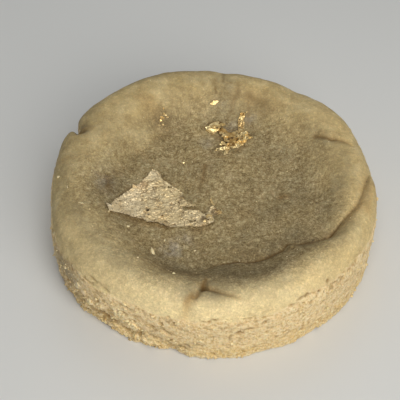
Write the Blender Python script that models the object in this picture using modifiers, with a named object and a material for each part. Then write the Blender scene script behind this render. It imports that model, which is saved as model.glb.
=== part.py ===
"""Sugar cookie with two pieces of gold leaf on its sunken top.

Frame: metres, +Z up, origin on the table under the middle of the cookie.
Bearings are degrees counter-clockwise from +X, so the front is at -90.
All lengths below are millimetres; MM turns them into metres at the end.
"""

import bpy
import numpy as np

MM = 0.001

# ---- driving dimensions of the cookie (mm)
COOKIE_R = 37.3        # mean radius at the widest level
BASE_R = 36.3          # radius at the table
SIDE_H = 12.5          # level where the upright side turns into the shoulder
RIM_H = 20.2           # highest level of the rim's crest
CREST_R = 30.4         # radius of the crest
FOOT_R = 20.5          # radius where the sunken middle starts to climb to the rim
CENTRE_H = 14.2        # level of the sunken middle
EDGE = 0.9             # rounding of the bottom edge

# ---- the fold: a crease that starts on the outer shoulder at the right and runs
# inwards and forwards, so that the front right rim stands up like a rolled lip
FOLD_INNER_R = 22.0    # radius of the crease where it starts along the front
FOLD_LIP_R = 33.2      # radius of the lip's crest

# ---- gold leaf (mm)
LEAF_GAP = 0.3
LEAF_T = 0.3
CRUMPLE_H = 1.5


def smooth(t):
    t = np.clip(t, 0.0, 1.0)
    return t * t * (3.0 - 2.0 * t)


def wrap(deg):
    """Bearing difference brought into -180..180."""
    return (deg + 180.0) % 360.0 - 180.0


def lobe(bearing, at, width):
    """Bell of height 1 round the cookie, centred on a bearing."""
    return np.exp(-((wrap(bearing - at) / width) ** 2))


def pinch(bearing):
    """Depth of the pinch in the shoulder at the back left."""
    return 2.3 * lobe(bearing, 150.9, 2.3)


def outline(bearing):
    """Radius of the cookie at its widest level: a hand-pressed round with lobes, flats and a pinch at the back left."""
    r = COOKIE_R + 0.0 * bearing
    r = r + 1.1 * lobe(bearing, 125, 24) - 0.9 * lobe(bearing, 179, 14)
    r = r + 0.5 * lobe(bearing, 213, 14) - 0.6 * lobe(bearing, 245, 14)
    r = r + 0.6 * lobe(bearing, 325, 26) - 0.4 * lobe(bearing, 8, 14)
    r = r - 1.0 * lobe(bearing, 71, 16) + 0.3 * lobe(bearing, 41, 10)
    r = r - pinch(bearing) + 0.45 * lobe(bearing, 157.5, 4.0)
    r = r + 0.85 * lobe(bearing, 33, 9) + 0.45 * lobe(bearing, 43, 5) + 0.3 * lobe(bearing, 51, 3) - 0.15 * lobe(bearing, 56, 2)
    r = r + 1.0 * lobe(bearing, 65, 7) + 0.3 * lobe(bearing, 78, 8) + 0.6 * lobe(bearing, 107, 8) + 0.5 * lobe(bearing, 141, 6) - 0.5 * lobe(bearing, 190, 7)
    return r


def base_inset(bearing):
    """How far the foot of the side is drawn in where the crumb has broken away."""
    return 0.9 * lobe(bearing, -104.5, 4) + 0.9 * lobe(bearing, -134.5, 7) + 0.6 * lobe(bearing, -150, 5) + 0.5 * lobe(bearing, -121, 5)


def side_inset(bearing, z):
    """How far the side is drawn in: at its foot where the crumb has broken away, and less and less towards the foot at the pinch."""
    return base_inset(bearing) * smooth((8.0 - z) / 8.0) - pinch(bearing) * smooth((11.5 - z) / 8.5)


def swell(x, y):
    """Slow unevenness of hand-pressed dough: plane waves in turned directions."""
    z = 0.0 * x
    for k in range(7):
        turn = k * 2.39996
        length = 26.0 / (1.0 + 0.42 * k)
        z = z + (0.16 / (1.0 + 0.25 * k)) * np.sin((x * np.cos(turn) + y * np.sin(turn)) * 6.2832 / length + 1.7 * k)
    return z


def beside(x, y, a, b):
    """(distance to the segment a-b, share of the way along it)"""
    ux, uy = b[0] - a[0], b[1] - a[1]
    t = np.clip(((x - a[0]) * ux + (y - a[1]) * uy) / (ux * ux + uy * uy), 0.0, 1.0)
    return np.hypot(x - a[0] - t * ux, y - a[1] - t * uy), t


def groove(x, y, a, b, half_width, depth_a, depth_b):
    """Depth of a groove along the segment a-b, fading from depth_a to depth_b."""
    away, t = beside(x, y, a, b)
    return (depth_a + (depth_b - depth_a) * t) * np.exp(-((away / half_width) ** 2))


def crest_level(bearing):
    """Level of the plain rim's crest round the cookie."""
    return (RIM_H - 0.5 + 0.3 * lobe(bearing, 130, 50) - 1.0 * lobe(bearing, 185, 38)
            - 0.7 * lobe(bearing, 58, 26) - 1.1 * lobe(bearing, 10, 30) - 0.3 * lobe(bearing, 235, 22))


def fold_radius(bearing):
    """Radius of the crease: it runs along the foot of the front rim, steps outwards near
    bearing -37 and then swings out to the shoulder at the right."""
    b = wrap(bearing)
    out = FOLD_INNER_R + 1.2 * smooth((b + 90.0) / 35.0) + 2.9 * smooth((b + 56.0) / 26.0) + 3.2 * smooth((b + 36.5) / 6.5)
    out = out + 4.7 * smooth((b + 32.0) / 25.0) + 1.6 * smooth((b + 3.0) / 10.0)
    out = out + 0.8 * lobe(b, -92, 5) - 0.4 * lobe(b, -76, 3.5) + 0.35 * lobe(b, -60, 9) - 1.3 * lobe(b, -44.5, 3.2)
    return out + 0.7 * lobe(b, -35, 2.5) + 0.35 * lobe(b, -27, 4) - 0.4 * lobe(b, -10, 4) + 0.5 * lobe(b, 1, 5)


def lip_radius(bearing):
    """Radius of the crest of the rolled lip outside the crease."""
    b = wrap(bearing)
    plain = FOLD_LIP_R - 0.6 * smooth((-72.0 - b) / 22.0) - 1.3 * lobe(b, -42, 12) + 0.9 * smooth((b + 36.0) / 8.0)
    return np.minimum(np.maximum(plain, fold_radius(bearing) + 1.6), outline(bearing) - 1.3)


def fold_share(bearing):
    """1 where the rim is folded, 0 where it is plain."""
    b = wrap(bearing)
    return smooth((b + 98.0) / 12.0) * smooth((7.0 - b) / 11.0)


def plain_crest(bearing):
    return CREST_R + 2.0 * lobe(bearing, 248, 40)


def crest_radius(bearing):
    w = fold_share(bearing)
    return (1.0 - w) * plain_crest(bearing) + w * lip_radius(bearing)


def shoulder(r, crest_r, crest_z, edge_r):
    t = np.clip((r - crest_r) / np.maximum(edge_r - crest_r, 0.3), 0.0, 1.0)
    return SIDE_H + (crest_z - SIDE_H) * (1.0 - t ** 2.15) ** (1.0 / 2.15)


def plain_top(r, bearing, edge_r):
    """The rim where it rises gently from the sunken middle."""
    crest_z, crest_r = crest_level(bearing), plain_crest(bearing)
    foot = FOOT_R - 1.5 * lobe(bearing, 200, 60) + 1.5 * lobe(bearing, 262, 14) + 1.6 * lobe(bearing, 236, 26) - 2.0 * lobe(bearing, 30, 30)
    t = np.clip((r - foot) / (crest_r - foot), 0.0, 1.0)
    inside = CENTRE_H + (crest_z - CENTRE_H) * smooth(t ** 0.92)
    return np.where(r < crest_r, inside, shoulder(r, crest_r, crest_z, edge_r))


def folded_top(r, bearing, edge_r):
    """The rim where the crease parts it from the middle."""
    b = wrap(bearing)
    crease_r, lip_r = fold_radius(bearing), lip_radius(bearing)
    lip_z = RIM_H - 1.6 - 0.7 * smooth((b + 30.0) / 34.0)
    rise = 0.2 + 3.4 * smooth((b + 37.0) / 20.0)
    hump = 31.5

    def middle(s):
        return CENTRE_H + 0.7 * smooth((s - 11.0) / 13.0) + (rise - 0.5) * smooth((s - 24.0) / (hump - 24.0)) - 0.10 * np.clip(s - hump, 0.0, 9.0) ** 2

    hollow = 0.45 - 0.2 * smooth((b + 25.0) / 20.0) - 0.25 * smooth((-78.0 - b) / 12.0)
    at_crease = middle(crease_r) - hollow
    wide = np.maximum(lip_r - crease_r, 0.5)
    t = np.clip((r - crease_r) / wide, 0.0, 1.0)
    step = np.minimum(0.8 - 0.4 * smooth((-76.0 - b) / 14.0), 0.35 * (lip_z - at_crease))
    rolled = at_crease + step * smooth((r - crease_r) / 1.1) + (lip_z - at_crease - step) * np.sin(1.5708 * t) ** 1.25
    inner = middle(r) - hollow * np.exp(-np.clip(crease_r - r, 0.0, 20.0) / 0.8)
    return np.where(r < crease_r, inner, np.where(r < lip_r, rolled, shoulder(r, lip_r, lip_z, edge_r)))


def top_level(x, y):
    """Level of the cookie's top at a point of its plan."""
    r = np.hypot(x, y)
    bearing = np.degrees(np.arctan2(y, x))
    edge_r = outline(bearing)
    share = fold_share(bearing)
    z = (1.0 - share) * plain_top(r, bearing, edge_r) + share * folded_top(r, bearing, edge_r)
    z = z + smooth((edge_r - r) / 5.0) * swell(x, y)
    # the front pit where the fold ends, and the short folds that leave it
    z = z - 0.8 * np.exp(-((x + 1.7) ** 2 + (y + 30.6) ** 2) / 0.95 ** 2)
    z = z - groove(x, y, (-0.9, -28.4), (-1.7, -30.8), 0.5, 0.35, 0.9)
    z = z - groove(x, y, (-1.5, -30.9), (5.4, -33.3), 0.7, 0.9, 0.12)
    z = z - groove(x, y, (-1.9, -31.3), (-3.4, -33.3), 0.65, 0.7, 0.5) - groove(x, y, (-3.4, -33.3), (-5.9, -37.2), 0.9, 0.45, 0.25)
    # pinch at the back left, dent at the right, soft dent across the back
    z = z - groove(x, y, (-31.8, 17.2), (-30.6, 14.3), 0.9, 2.3, 1.6) - groove(x, y, (-30.6, 14.3), (-28.2, 13.9), 0.9, 1.2, 0.1)
    z = z - groove(x, y, (24.0, 13.4), (27.8, 11.9), 0.8, 0.4, 0.7) - groove(x, y, (27.8, 11.9), (32.0, 10.4), 0.8, 0.6, 0.25)
    z = z - groove(x, y, (1.8, 27.0), (3.2, 36.0), 2.4, 0.2, 0.7)
    return z


# ---- helpers -----------------------------------------------------------------

def material(name, colour, roughness, metallic=0.0):
    mat = bpy.data.materials.new(name)
    mat.use_nodes = True
    bsdf = mat.node_tree.nodes["Principled BSDF"]
    bsdf.inputs["Base Color"].default_value = (*colour, 1.0)
    bsdf.inputs["Roughness"].default_value = roughness
    bsdf.inputs["Metallic"].default_value = metallic
    mat.diffuse_color = (*colour, 1.0)
    return mat


def turned(name, profile, steps, collection):
    """Mesh of a profile of (radius, level) turned about +Z. The profile runs from the top of the axis outwards and down."""
    line = bpy.data.meshes.new(name + "_profile")
    line.from_pydata([(r, 0.0, z) for r, z in profile], [(i, i + 1) for i in range(len(profile) - 1)], [])
    guide = bpy.data.objects.new(name + "_guide", line)
    collection.objects.link(guide)
    screw = guide.modifiers.new("Turn", "SCREW")
    screw.axis = "Z"
    screw.steps = screw.render_steps = steps
    screw.use_merge_vertices = True
    screw.merge_threshold = 0.00001
    screw.use_normal_calculate = False
    bpy.context.view_layer.update()
    mesh = bpy.data.meshes.new_from_object(guide.evaluated_get(bpy.context.evaluated_depsgraph_get()))
    mesh.name = name
    bpy.data.objects.remove(guide)
    bpy.data.meshes.remove(line)
    return mesh


def points_of(mesh):
    co = np.empty(len(mesh.vertices) * 3, np.float32)
    mesh.vertices.foreach_get("co", co)
    return co.reshape(-1, 3).astype(np.float64)


def put_points(mesh, points):
    mesh.vertices.foreach_set("co", np.asarray(points, np.float32).ravel())
    mesh.update()


# ---- the cookie --------------------------------------------------------------

TOP_RINGS = (0.0, 0.16, 0.32, 0.47, 0.60, 0.71, 0.80, 0.88, 0.95)   # shares of the way to the foot of the rim
SLOPE_RINGS = 6
SHOULDER_RINGS = 6
SIDE_RINGS = 4
STEPS = 120


def cookie_mesh(collection):
    """A turned blank whose rings are then moved onto the shaped top, side and bottom.

    The blank's radii only number the rings: 1..2 is the middle, 2..3 the inner slope,
    3..4 the shoulder. Its side and bottom already have their levels."""
    blank = [(1.0 * t, 3.0) for t in TOP_RINGS]
    blank += [(1.0 + i / SLOPE_RINGS, 3.0) for i in range(SLOPE_RINGS)]
    blank += [(2.0 + i / SHOULDER_RINGS, 3.0) for i in range(SHOULDER_RINGS)]
    blank += [(3.0, 2.0 - i / SIDE_RINGS) for i in range(SIDE_RINGS + 1)]
    blank += [(2.5, 0.5), (2.3, 0.0), (1.2, 0.0), (0.0, 0.0)]
    mesh = turned("cookie", blank, STEPS, collection)
    p = points_of(mesh)
    ring, level = np.hypot(p[:, 0], p[:, 1]), p[:, 2]
    bearing = np.degrees(np.arctan2(p[:, 1], p[:, 0]))
    edge_r = outline(bearing)
    crest_r = crest_radius(bearing)
    share = fold_share(bearing)
    foot_r = np.minimum((1.0 - share) * FOOT_R + share * fold_radius(bearing), crest_r - 1.4)

    # top: rings 0..1 the middle, 1..2 the slope, 2..3 the shoulder
    on_top = level > 2.5
    inner = np.clip(ring, 0.0, 1.0) * foot_r
    slope = foot_r + np.clip(ring - 1.0, 0.0, 1.0) * (crest_r - foot_r)
    turn = np.clip(ring - 2.0, 0.0, 1.0) * 1.5708
    outer = crest_r + np.sin(turn) * (edge_r - crest_r)
    r_top = np.where(ring < 1.0, inner, np.where(ring < 2.0, slope, outer))
    # side: level 2..1 runs down to the bottom edge
    share_down = np.clip(2.0 - level, 0.0, 1.0)
    z_side = SIDE_H + (EDGE - SIDE_H) * share_down
    taper = BASE_R / COOKIE_R + (1.0 - BASE_R / COOKIE_R) * (z_side / SIDE_H) ** 0.7
    ragged = 0.12 * np.sin(np.radians(bearing) * 11 + z_side * 0.7) + 0.10 * np.sin(np.radians(bearing) * 19 - z_side * 0.9)
    r_side = edge_r * taper - side_inset(bearing, z_side) + ragged * smooth((SIDE_H - z_side) / 4.0)
    r_base = edge_r * BASE_R / COOKIE_R - side_inset(bearing, 0.0) + ragged
    on_side = (level <= 2.5) & (level > 0.9)
    r = np.where(on_top, r_top, np.where(on_side, r_side, r_base - EDGE))
    r = np.where(level == 0.5, r_base - 0.3 * EDGE, r)
    r = np.where((level < 0.4) & (ring < 2.2), (r_base - EDGE) * ring / 2.3, r)
    r = np.where(ring < 0.001, 0.0, r)
    x, y = r * np.cos(np.radians(bearing)), r * np.sin(np.radians(bearing))
    z = np.where(on_top, top_level(x, y), np.where(on_side, z_side, 0.0))
    z = np.where(level == 0.5, 0.3 * EDGE, z)
    return mesh, np.stack([x, y, z], 1)


# ---- gold leaf ---------------------------------------------------------------

# corners of the flat leaf, counter-clockwise from its right end (mm in plan)
LEAF_CORNERS = ((1.4, -7.4), (-2.4, -7.4), (-5.6, -6.9), (-6.4, -3.6), (-10.4, 0.9), (-12.2, 4.3), (-13.9, 5.6),
                (-16.1, 1.7), (-19.3, -0.7), (-23.0, -4.1), (-19.2, -6.4), (-13.2, -8.4), (-9.0, -10.6), (-3.0, -11.2), (0.0, -10.2))
LEAF_MIDDLE = (-10.5, -5.6)

# arms of the crumpled piece: tip in plan, width in degrees
CRUMPLE_MIDDLE = (6.3, 16.2)
CRUMPLE_ARMS = ((-0.8, 20.4, 17.0), (8.0, 24.6, 15.0), (9.8, 17.0, 26.0), (6.8, 12.8, 24.0), (0.8, 12.2, 15.0))


def corner_outline(bearing, middle, corners):
    """Radius from the middle to the straight-sided outline through the corners."""
    away = np.array([(np.hypot(cx - middle[0], cy - middle[1]), np.degrees(np.arctan2(cy - middle[1], cx - middle[0])) % 360.0) for cx, cy in corners])
    away = away[np.argsort(away[:, 1])]
    r, a = away[:, 0], away[:, 1]
    r, a = np.concatenate([r[-1:], r, r[:1]]), np.concatenate([a[-1:] - 360.0, a, a[:1] + 360.0])
    b = bearing % 360.0
    i = np.clip(np.searchsorted(a, b, side="right") - 1, 0, len(a) - 2)
    a0, a1, r0, r1 = np.radians(a[i]), np.radians(a[i + 1]), r[i], r[i + 1]
    t = np.radians(b)
    return r0 * r1 * np.sin(a1 - a0) / (r0 * np.sin(t - a0) + r1 * np.sin(a1 - t))


def leaf_mesh(collection):
    """A turned disc drawn out to the leaf's outline and laid on the top."""
    profile = [(0.2 * i, 0.0) for i in range(6)]
    mesh = turned("gold_leaf_large", profile, 56, collection)
    p = points_of(mesh)
    bearing = np.degrees(np.arctan2(p[:, 1], p[:, 0]))
    reach = corner_outline(bearing, LEAF_MIDDLE, LEAF_CORNERS)
    ring = np.hypot(p[:, 0], p[:, 1])
    x = LEAF_MIDDLE[0] + p[:, 0] * reach
    y = LEAF_MIDDLE[1] + p[:, 1] * reach
    ripple = 0.12 * ring * (1.0 + np.sin(np.radians(bearing) * 9)) * 0.5
    z = top_level(x, y) + LEAF_GAP + ripple
    return mesh, np.stack([x, y, z], 1)


def crumple_mesh(collection):
    """A turned lens drawn out to five arms, its upper side creased."""
    profile = [(0.0, 1.0), (0.25, 0.95), (0.5, 0.8), (0.75, 0.55), (1.0, 0.25), (1.0, 0.0), (0.66, 0.0), (0.33, 0.0), (0.0, 0.0)]
    mesh = turned("gold_leaf_crumpled", profile, 48, collection)
    p = points_of(mesh)
    bearing = np.degrees(np.arctan2(p[:, 1], p[:, 0]))
    reach = 2.1 + 0.0 * bearing
    for tip_x, tip_y, width in CRUMPLE_ARMS:
        dx, dy = tip_x - CRUMPLE_MIDDLE[0], tip_y - CRUMPLE_MIDDLE[1]
        reach = np.maximum(reach, 2.1 + (np.hypot(dx, dy) - 2.1) * lobe(bearing, np.degrees(np.arctan2(dy, dx)), width))
    x = CRUMPLE_MIDDLE[0] + p[:, 0] * reach
    y = CRUMPLE_MIDDLE[1] + p[:, 1] * reach
    creases = 1.0 + 0.22 * np.sin(2.6 * x + 0.7 * y) + 0.18 * np.sin(2.1 * y - 1.4 * x)
    z = top_level(x, y) + LEAF_GAP + CRUMPLE_H * p[:, 2] * creases
    return mesh, np.stack([x, y, z], 1)


# ---- build -------------------------------------------------------------------

def main():
    for obj in list(bpy.data.objects):
        bpy.data.objects.remove(obj)
    parts = bpy.data.collections.new("sugar_cookie")
    bpy.context.scene.collection.children.link(parts)

    cookie, cookie_points = cookie_mesh(parts)
    leaf, leaf_points = leaf_mesh(parts)
    crumple, crumple_points = crumple_mesh(parts)
    middle = 0.5 * (cookie_points.min(axis=0) + cookie_points.max(axis=0))
    middle[2] = 0.0

    dough = material("baked_dough", (0.62, 0.48, 0.27), 0.85)
    gold = material("gold_leaf", (0.78, 0.60, 0.30), 0.38, 1.0)
    for mesh, points, mat in ((cookie, cookie_points, dough), (leaf, leaf_points, gold), (crumple, crumple_points, gold)):
        put_points(mesh, (points - middle) * MM)
        mesh.materials.append(mat)
        mesh.shade_smooth()
        obj = bpy.data.objects.new(mesh.name, mesh)
        parts.objects.link(obj)
        if mesh is leaf:
            shell = obj.modifiers.new("Thickness", "SOLIDIFY")
            shell.thickness = LEAF_T * MM
            shell.offset = 1.0


main()
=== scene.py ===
import math

import bpy
import numpy as np
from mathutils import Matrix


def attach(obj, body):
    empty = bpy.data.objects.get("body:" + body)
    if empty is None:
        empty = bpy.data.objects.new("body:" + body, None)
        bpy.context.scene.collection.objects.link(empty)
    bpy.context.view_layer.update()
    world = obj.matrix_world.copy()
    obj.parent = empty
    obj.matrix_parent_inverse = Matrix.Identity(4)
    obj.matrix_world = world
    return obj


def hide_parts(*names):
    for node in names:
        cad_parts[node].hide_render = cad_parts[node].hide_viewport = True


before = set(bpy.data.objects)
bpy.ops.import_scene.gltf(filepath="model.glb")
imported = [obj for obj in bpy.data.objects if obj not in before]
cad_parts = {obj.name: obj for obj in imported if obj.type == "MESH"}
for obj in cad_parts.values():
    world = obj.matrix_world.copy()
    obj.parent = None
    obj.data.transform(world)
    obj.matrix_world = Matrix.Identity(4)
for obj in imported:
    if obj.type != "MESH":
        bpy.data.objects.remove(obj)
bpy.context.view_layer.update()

# Lengths below are millimetres in the cookie's own plan (+X right, -Y front, +Z up); MM turns them into metres.
# Bearings are degrees counter-clockwise from +X.
MM = 0.001

# ------------------------------------------------------------------ the cookie's form, as in part.py
COOKIE_R = 37.3
BASE_R = 36.3
SIDE_H = 12.5
RIM_H = 20.2
CREST_R = 30.4
FOOT_R = 20.5
CENTRE_H = 14.2
EDGE = 0.9
FOLD_INNER_R = 22.0
FOLD_LIP_R = 33.2


def smooth(t):
    t = np.clip(t, 0.0, 1.0)
    return t * t * (3.0 - 2.0 * t)


def wrap(deg):
    return (deg + 180.0) % 360.0 - 180.0


def lobe(bearing, at, width):
    return np.exp(-((wrap(bearing - at) / width) ** 2))


def pinch(bearing):
    return 2.3 * lobe(bearing, 150.9, 2.3)


def outline(bearing):
    r = COOKIE_R + 0.0 * bearing
    r = r + 1.1 * lobe(bearing, 125, 24) - 0.9 * lobe(bearing, 179, 14)
    r = r + 0.5 * lobe(bearing, 213, 14) - 0.6 * lobe(bearing, 245, 14)
    r = r + 0.6 * lobe(bearing, 325, 26) - 0.4 * lobe(bearing, 8, 14)
    r = r - 1.0 * lobe(bearing, 71, 16) + 0.3 * lobe(bearing, 41, 10)
    r = r - pinch(bearing) + 0.45 * lobe(bearing, 157.5, 4.0)
    r = r + 0.85 * lobe(bearing, 33, 9) + 0.45 * lobe(bearing, 43, 5) + 0.3 * lobe(bearing, 51, 3) - 0.15 * lobe(bearing, 56, 2)
    r = r + 1.0 * lobe(bearing, 65, 7) + 0.3 * lobe(bearing, 78, 8) + 0.6 * lobe(bearing, 107, 8) + 0.5 * lobe(bearing, 141, 6) - 0.5 * lobe(bearing, 190, 7)
    return r


def base_inset(bearing):
    return 0.9 * lobe(bearing, -104.5, 4) + 0.9 * lobe(bearing, -134.5, 7) + 0.6 * lobe(bearing, -150, 5) + 0.5 * lobe(bearing, -121, 5)


def side_inset(bearing, z):
    """How far the side is drawn in: at its foot where the crumb has broken away, and less and less towards the foot at the pinch."""
    return base_inset(bearing) * smooth((8.0 - z) / 8.0) - pinch(bearing) * smooth((11.5 - z) / 8.5)


def swell(x, y):
    z = 0.0 * x
    for k in range(7):
        turn = k * 2.39996
        length = 26.0 / (1.0 + 0.42 * k)
        z = z + (0.16 / (1.0 + 0.25 * k)) * np.sin((x * np.cos(turn) + y * np.sin(turn)) * 6.2832 / length + 1.7 * k)
    return z


def beside(x, y, a, b):
    """(distance to the segment a-b, share of the way along it)"""
    ux, uy = b[0] - a[0], b[1] - a[1]
    t = np.clip(((x - a[0]) * ux + (y - a[1]) * uy) / (ux * ux + uy * uy), 0.0, 1.0)
    return np.hypot(x - a[0] - t * ux, y - a[1] - t * uy), t


def groove(x, y, a, b, half_width, depth_a, depth_b):
    away, t = beside(x, y, a, b)
    return (depth_a + (depth_b - depth_a) * t) * np.exp(-((away / half_width) ** 2))


def crest_level(bearing):
    return (RIM_H - 0.5 + 0.3 * lobe(bearing, 130, 50) - 1.0 * lobe(bearing, 185, 38)
            - 0.7 * lobe(bearing, 58, 26) - 1.1 * lobe(bearing, 10, 30) - 0.3 * lobe(bearing, 235, 22))


def fold_radius(bearing):
    b = wrap(bearing)
    out = FOLD_INNER_R + 1.2 * smooth((b + 90.0) / 35.0) + 2.9 * smooth((b + 56.0) / 26.0) + 3.2 * smooth((b + 36.5) / 6.5)
    out = out + 4.7 * smooth((b + 32.0) / 25.0) + 1.6 * smooth((b + 3.0) / 10.0)
    out = out + 0.8 * lobe(b, -92, 5) - 0.4 * lobe(b, -76, 3.5) + 0.35 * lobe(b, -60, 9) - 1.3 * lobe(b, -44.5, 3.2)
    return out + 0.7 * lobe(b, -35, 2.5) + 0.35 * lobe(b, -27, 4) - 0.4 * lobe(b, -10, 4) + 0.5 * lobe(b, 1, 5)


def lip_radius(bearing):
    b = wrap(bearing)
    plain = FOLD_LIP_R - 0.6 * smooth((-72.0 - b) / 22.0) - 1.3 * lobe(b, -42, 12) + 0.9 * smooth((b + 36.0) / 8.0)
    return np.minimum(np.maximum(plain, fold_radius(bearing) + 1.6), outline(bearing) - 1.3)


def fold_share(bearing):
    b = wrap(bearing)
    return smooth((b + 98.0) / 12.0) * smooth((7.0 - b) / 11.0)


def plain_crest(bearing):
    return CREST_R + 2.0 * lobe(bearing, 248, 40)


def crest_radius(bearing):
    w = fold_share(bearing)
    return (1.0 - w) * plain_crest(bearing) + w * lip_radius(bearing)


def shoulder(r, crest_r, crest_z, edge_r):
    t = np.clip((r - crest_r) / np.maximum(edge_r - crest_r, 0.3), 0.0, 1.0)
    return SIDE_H + (crest_z - SIDE_H) * (1.0 - t ** 2.15) ** (1.0 / 2.15)


def plain_top(r, bearing, edge_r):
    crest_z, crest_r = crest_level(bearing), plain_crest(bearing)
    foot = FOOT_R - 1.5 * lobe(bearing, 200, 60) + 1.5 * lobe(bearing, 262, 14) + 1.6 * lobe(bearing, 236, 26) - 2.0 * lobe(bearing, 30, 30)
    t = np.clip((r - foot) / (crest_r - foot), 0.0, 1.0)
    inside = CENTRE_H + (crest_z - CENTRE_H) * smooth(t ** 0.92)
    return np.where(r < crest_r, inside, shoulder(r, crest_r, crest_z, edge_r))


def folded_top(r, bearing, edge_r):
    b = wrap(bearing)
    crease_r, lip_r = fold_radius(bearing), lip_radius(bearing)
    lip_z = RIM_H - 1.6 - 0.7 * smooth((b + 30.0) / 34.0)
    rise = 0.2 + 3.4 * smooth((b + 37.0) / 20.0)
    hump = 31.5

    def middle(s):
        return CENTRE_H + 0.7 * smooth((s - 11.0) / 13.0) + (rise - 0.5) * smooth((s - 24.0) / (hump - 24.0)) - 0.10 * np.clip(s - hump, 0.0, 9.0) ** 2

    hollow = 0.45 - 0.2 * smooth((b + 25.0) / 20.0) - 0.25 * smooth((-78.0 - b) / 12.0)
    at_crease = middle(crease_r) - hollow
    wide = np.maximum(lip_r - crease_r, 0.5)
    t = np.clip((r - crease_r) / wide, 0.0, 1.0)
    step = np.minimum(0.8 - 0.4 * smooth((-76.0 - b) / 14.0), 0.35 * (lip_z - at_crease))
    rolled = at_crease + step * smooth((r - crease_r) / 1.1) + (lip_z - at_crease - step) * np.sin(1.5708 * t) ** 1.25
    inner = middle(r) - hollow * np.exp(-np.clip(crease_r - r, 0.0, 20.0) / 0.8)
    return np.where(r < crease_r, inner, np.where(r < lip_r, rolled, shoulder(r, lip_r, lip_z, edge_r)))


def top_level(x, y):
    r = np.hypot(x, y)
    bearing = np.degrees(np.arctan2(y, x))
    edge_r = outline(bearing)
    share = fold_share(bearing)
    z = (1.0 - share) * plain_top(r, bearing, edge_r) + share * folded_top(r, bearing, edge_r)
    z = z + smooth((edge_r - r) / 5.0) * swell(x, y)
    z = z - 0.8 * np.exp(-((x + 1.7) ** 2 + (y + 30.6) ** 2) / 0.95 ** 2)
    z = z - groove(x, y, (-0.9, -28.4), (-1.7, -30.8), 0.5, 0.35, 0.9)
    z = z - groove(x, y, (-1.5, -30.9), (5.4, -33.3), 0.7, 0.9, 0.12)
    z = z - groove(x, y, (-1.9, -31.3), (-3.4, -33.3), 0.65, 0.7, 0.5) - groove(x, y, (-3.4, -33.3), (-5.9, -37.2), 0.9, 0.45, 0.25)
    z = z - groove(x, y, (-31.8, 17.2), (-30.6, 14.3), 0.9, 2.3, 1.6) - groove(x, y, (-30.6, 14.3), (-28.2, 13.9), 0.9, 1.2, 0.1)
    z = z - groove(x, y, (24.0, 13.4), (27.8, 11.9), 0.8, 0.4, 0.7) - groove(x, y, (27.8, 11.9), (32.0, 10.4), 0.8, 0.6, 0.25)
    z = z - groove(x, y, (1.8, 27.0), (3.2, 36.0), 2.4, 0.2, 0.7)
    return z


def middle_of_plan():
    b = np.arange(0.0, 360.0, 3.0)
    r = outline(b)
    x, y = r * np.cos(np.radians(b)), r * np.sin(np.radians(b))
    return np.array([0.5 * (x.min() + x.max()), 0.5 * (y.min() + y.max()), 0.0])


MIDDLE = middle_of_plan()

# ------------------------------------------------------------------ noise


def mixed(ix, iy, iz, seed):
    h = (ix.astype(np.int64) * 374761393 + iy.astype(np.int64) * 668265263 + iz.astype(np.int64) * 2147483647 + seed * 974634777) & 0xFFFFFFFF
    h = ((h ^ (h >> 13)) * 1274126177) & 0xFFFFFFFF
    h = ((h ^ (h >> 16)) * 2246822519) & 0xFFFFFFFF
    return h ^ (h >> 15)


def unit(ix, iy, iz, seed):
    return mixed(ix, iy, iz, seed).astype(np.float64) / 4294967296.0


def value_noise(p, size, seed):
    """Smooth noise in -1..1 with features of the given size (mm)."""
    q = p / size
    i = np.floor(q).astype(np.int64)
    f = q - i
    f = f * f * f * (f * (f * 6.0 - 15.0) + 10.0)
    total = 0.0
    for dx in (0, 1):
        wx = f[:, 0] if dx else 1.0 - f[:, 0]
        for dy in (0, 1):
            wy = f[:, 1] if dy else 1.0 - f[:, 1]
            for dz in (0, 1):
                wz = f[:, 2] if dz else 1.0 - f[:, 2]
                total = total + wx * wy * wz * unit(i[:, 0] + dx, i[:, 1] + dy, i[:, 2] + dz, seed)
    return 2.0 * total - 1.0


def fractal(p, size, seed, octaves=3, gain=0.5):
    total, amount, norm = 0.0, 1.0, 0.0
    for k in range(octaves):
        turn = 0.7 * k + 0.3
        c, s = math.cos(turn), math.sin(turn)
        q = np.stack([c * p[:, 0] - s * p[:, 1], s * p[:, 0] + c * p[:, 1] + 0.31 * p[:, 2], p[:, 2] - 0.27 * p[:, 0]], 1)
        total = total + amount * value_noise(q, size / 2.03 ** k, seed + 17 * k)
        norm += amount
        amount *= gain
    return total / norm


def cells(p, size, seed):
    """(distance to the nearest cell point, to the second nearest, a number of the nearest cell), in cell sizes."""
    q = p / size
    i = np.floor(q).astype(np.int64)
    near = np.full(len(p), 9.0)
    second = np.full(len(p), 9.0)
    number = np.zeros(len(p))
    for dx in (-1, 0, 1):
        for dy in (-1, 0, 1):
            for dz in (-1, 0, 1):
                c = i + np.array([dx, dy, dz])
                at = np.stack([c[:, k] + unit(c[:, 0], c[:, 1], c[:, 2], seed + 101 * k) for k in range(3)], 1)
                d = np.sqrt(((q - at) ** 2).sum(1))
                closer = d < near
                second = np.where(closer, near, np.minimum(second, d))
                number = np.where(closer, unit(c[:, 0], c[:, 1], c[:, 2], seed + 977), number)
                near = np.where(closer, d, near)
    return near, second, number


# ------------------------------------------------------------------ meshes


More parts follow.
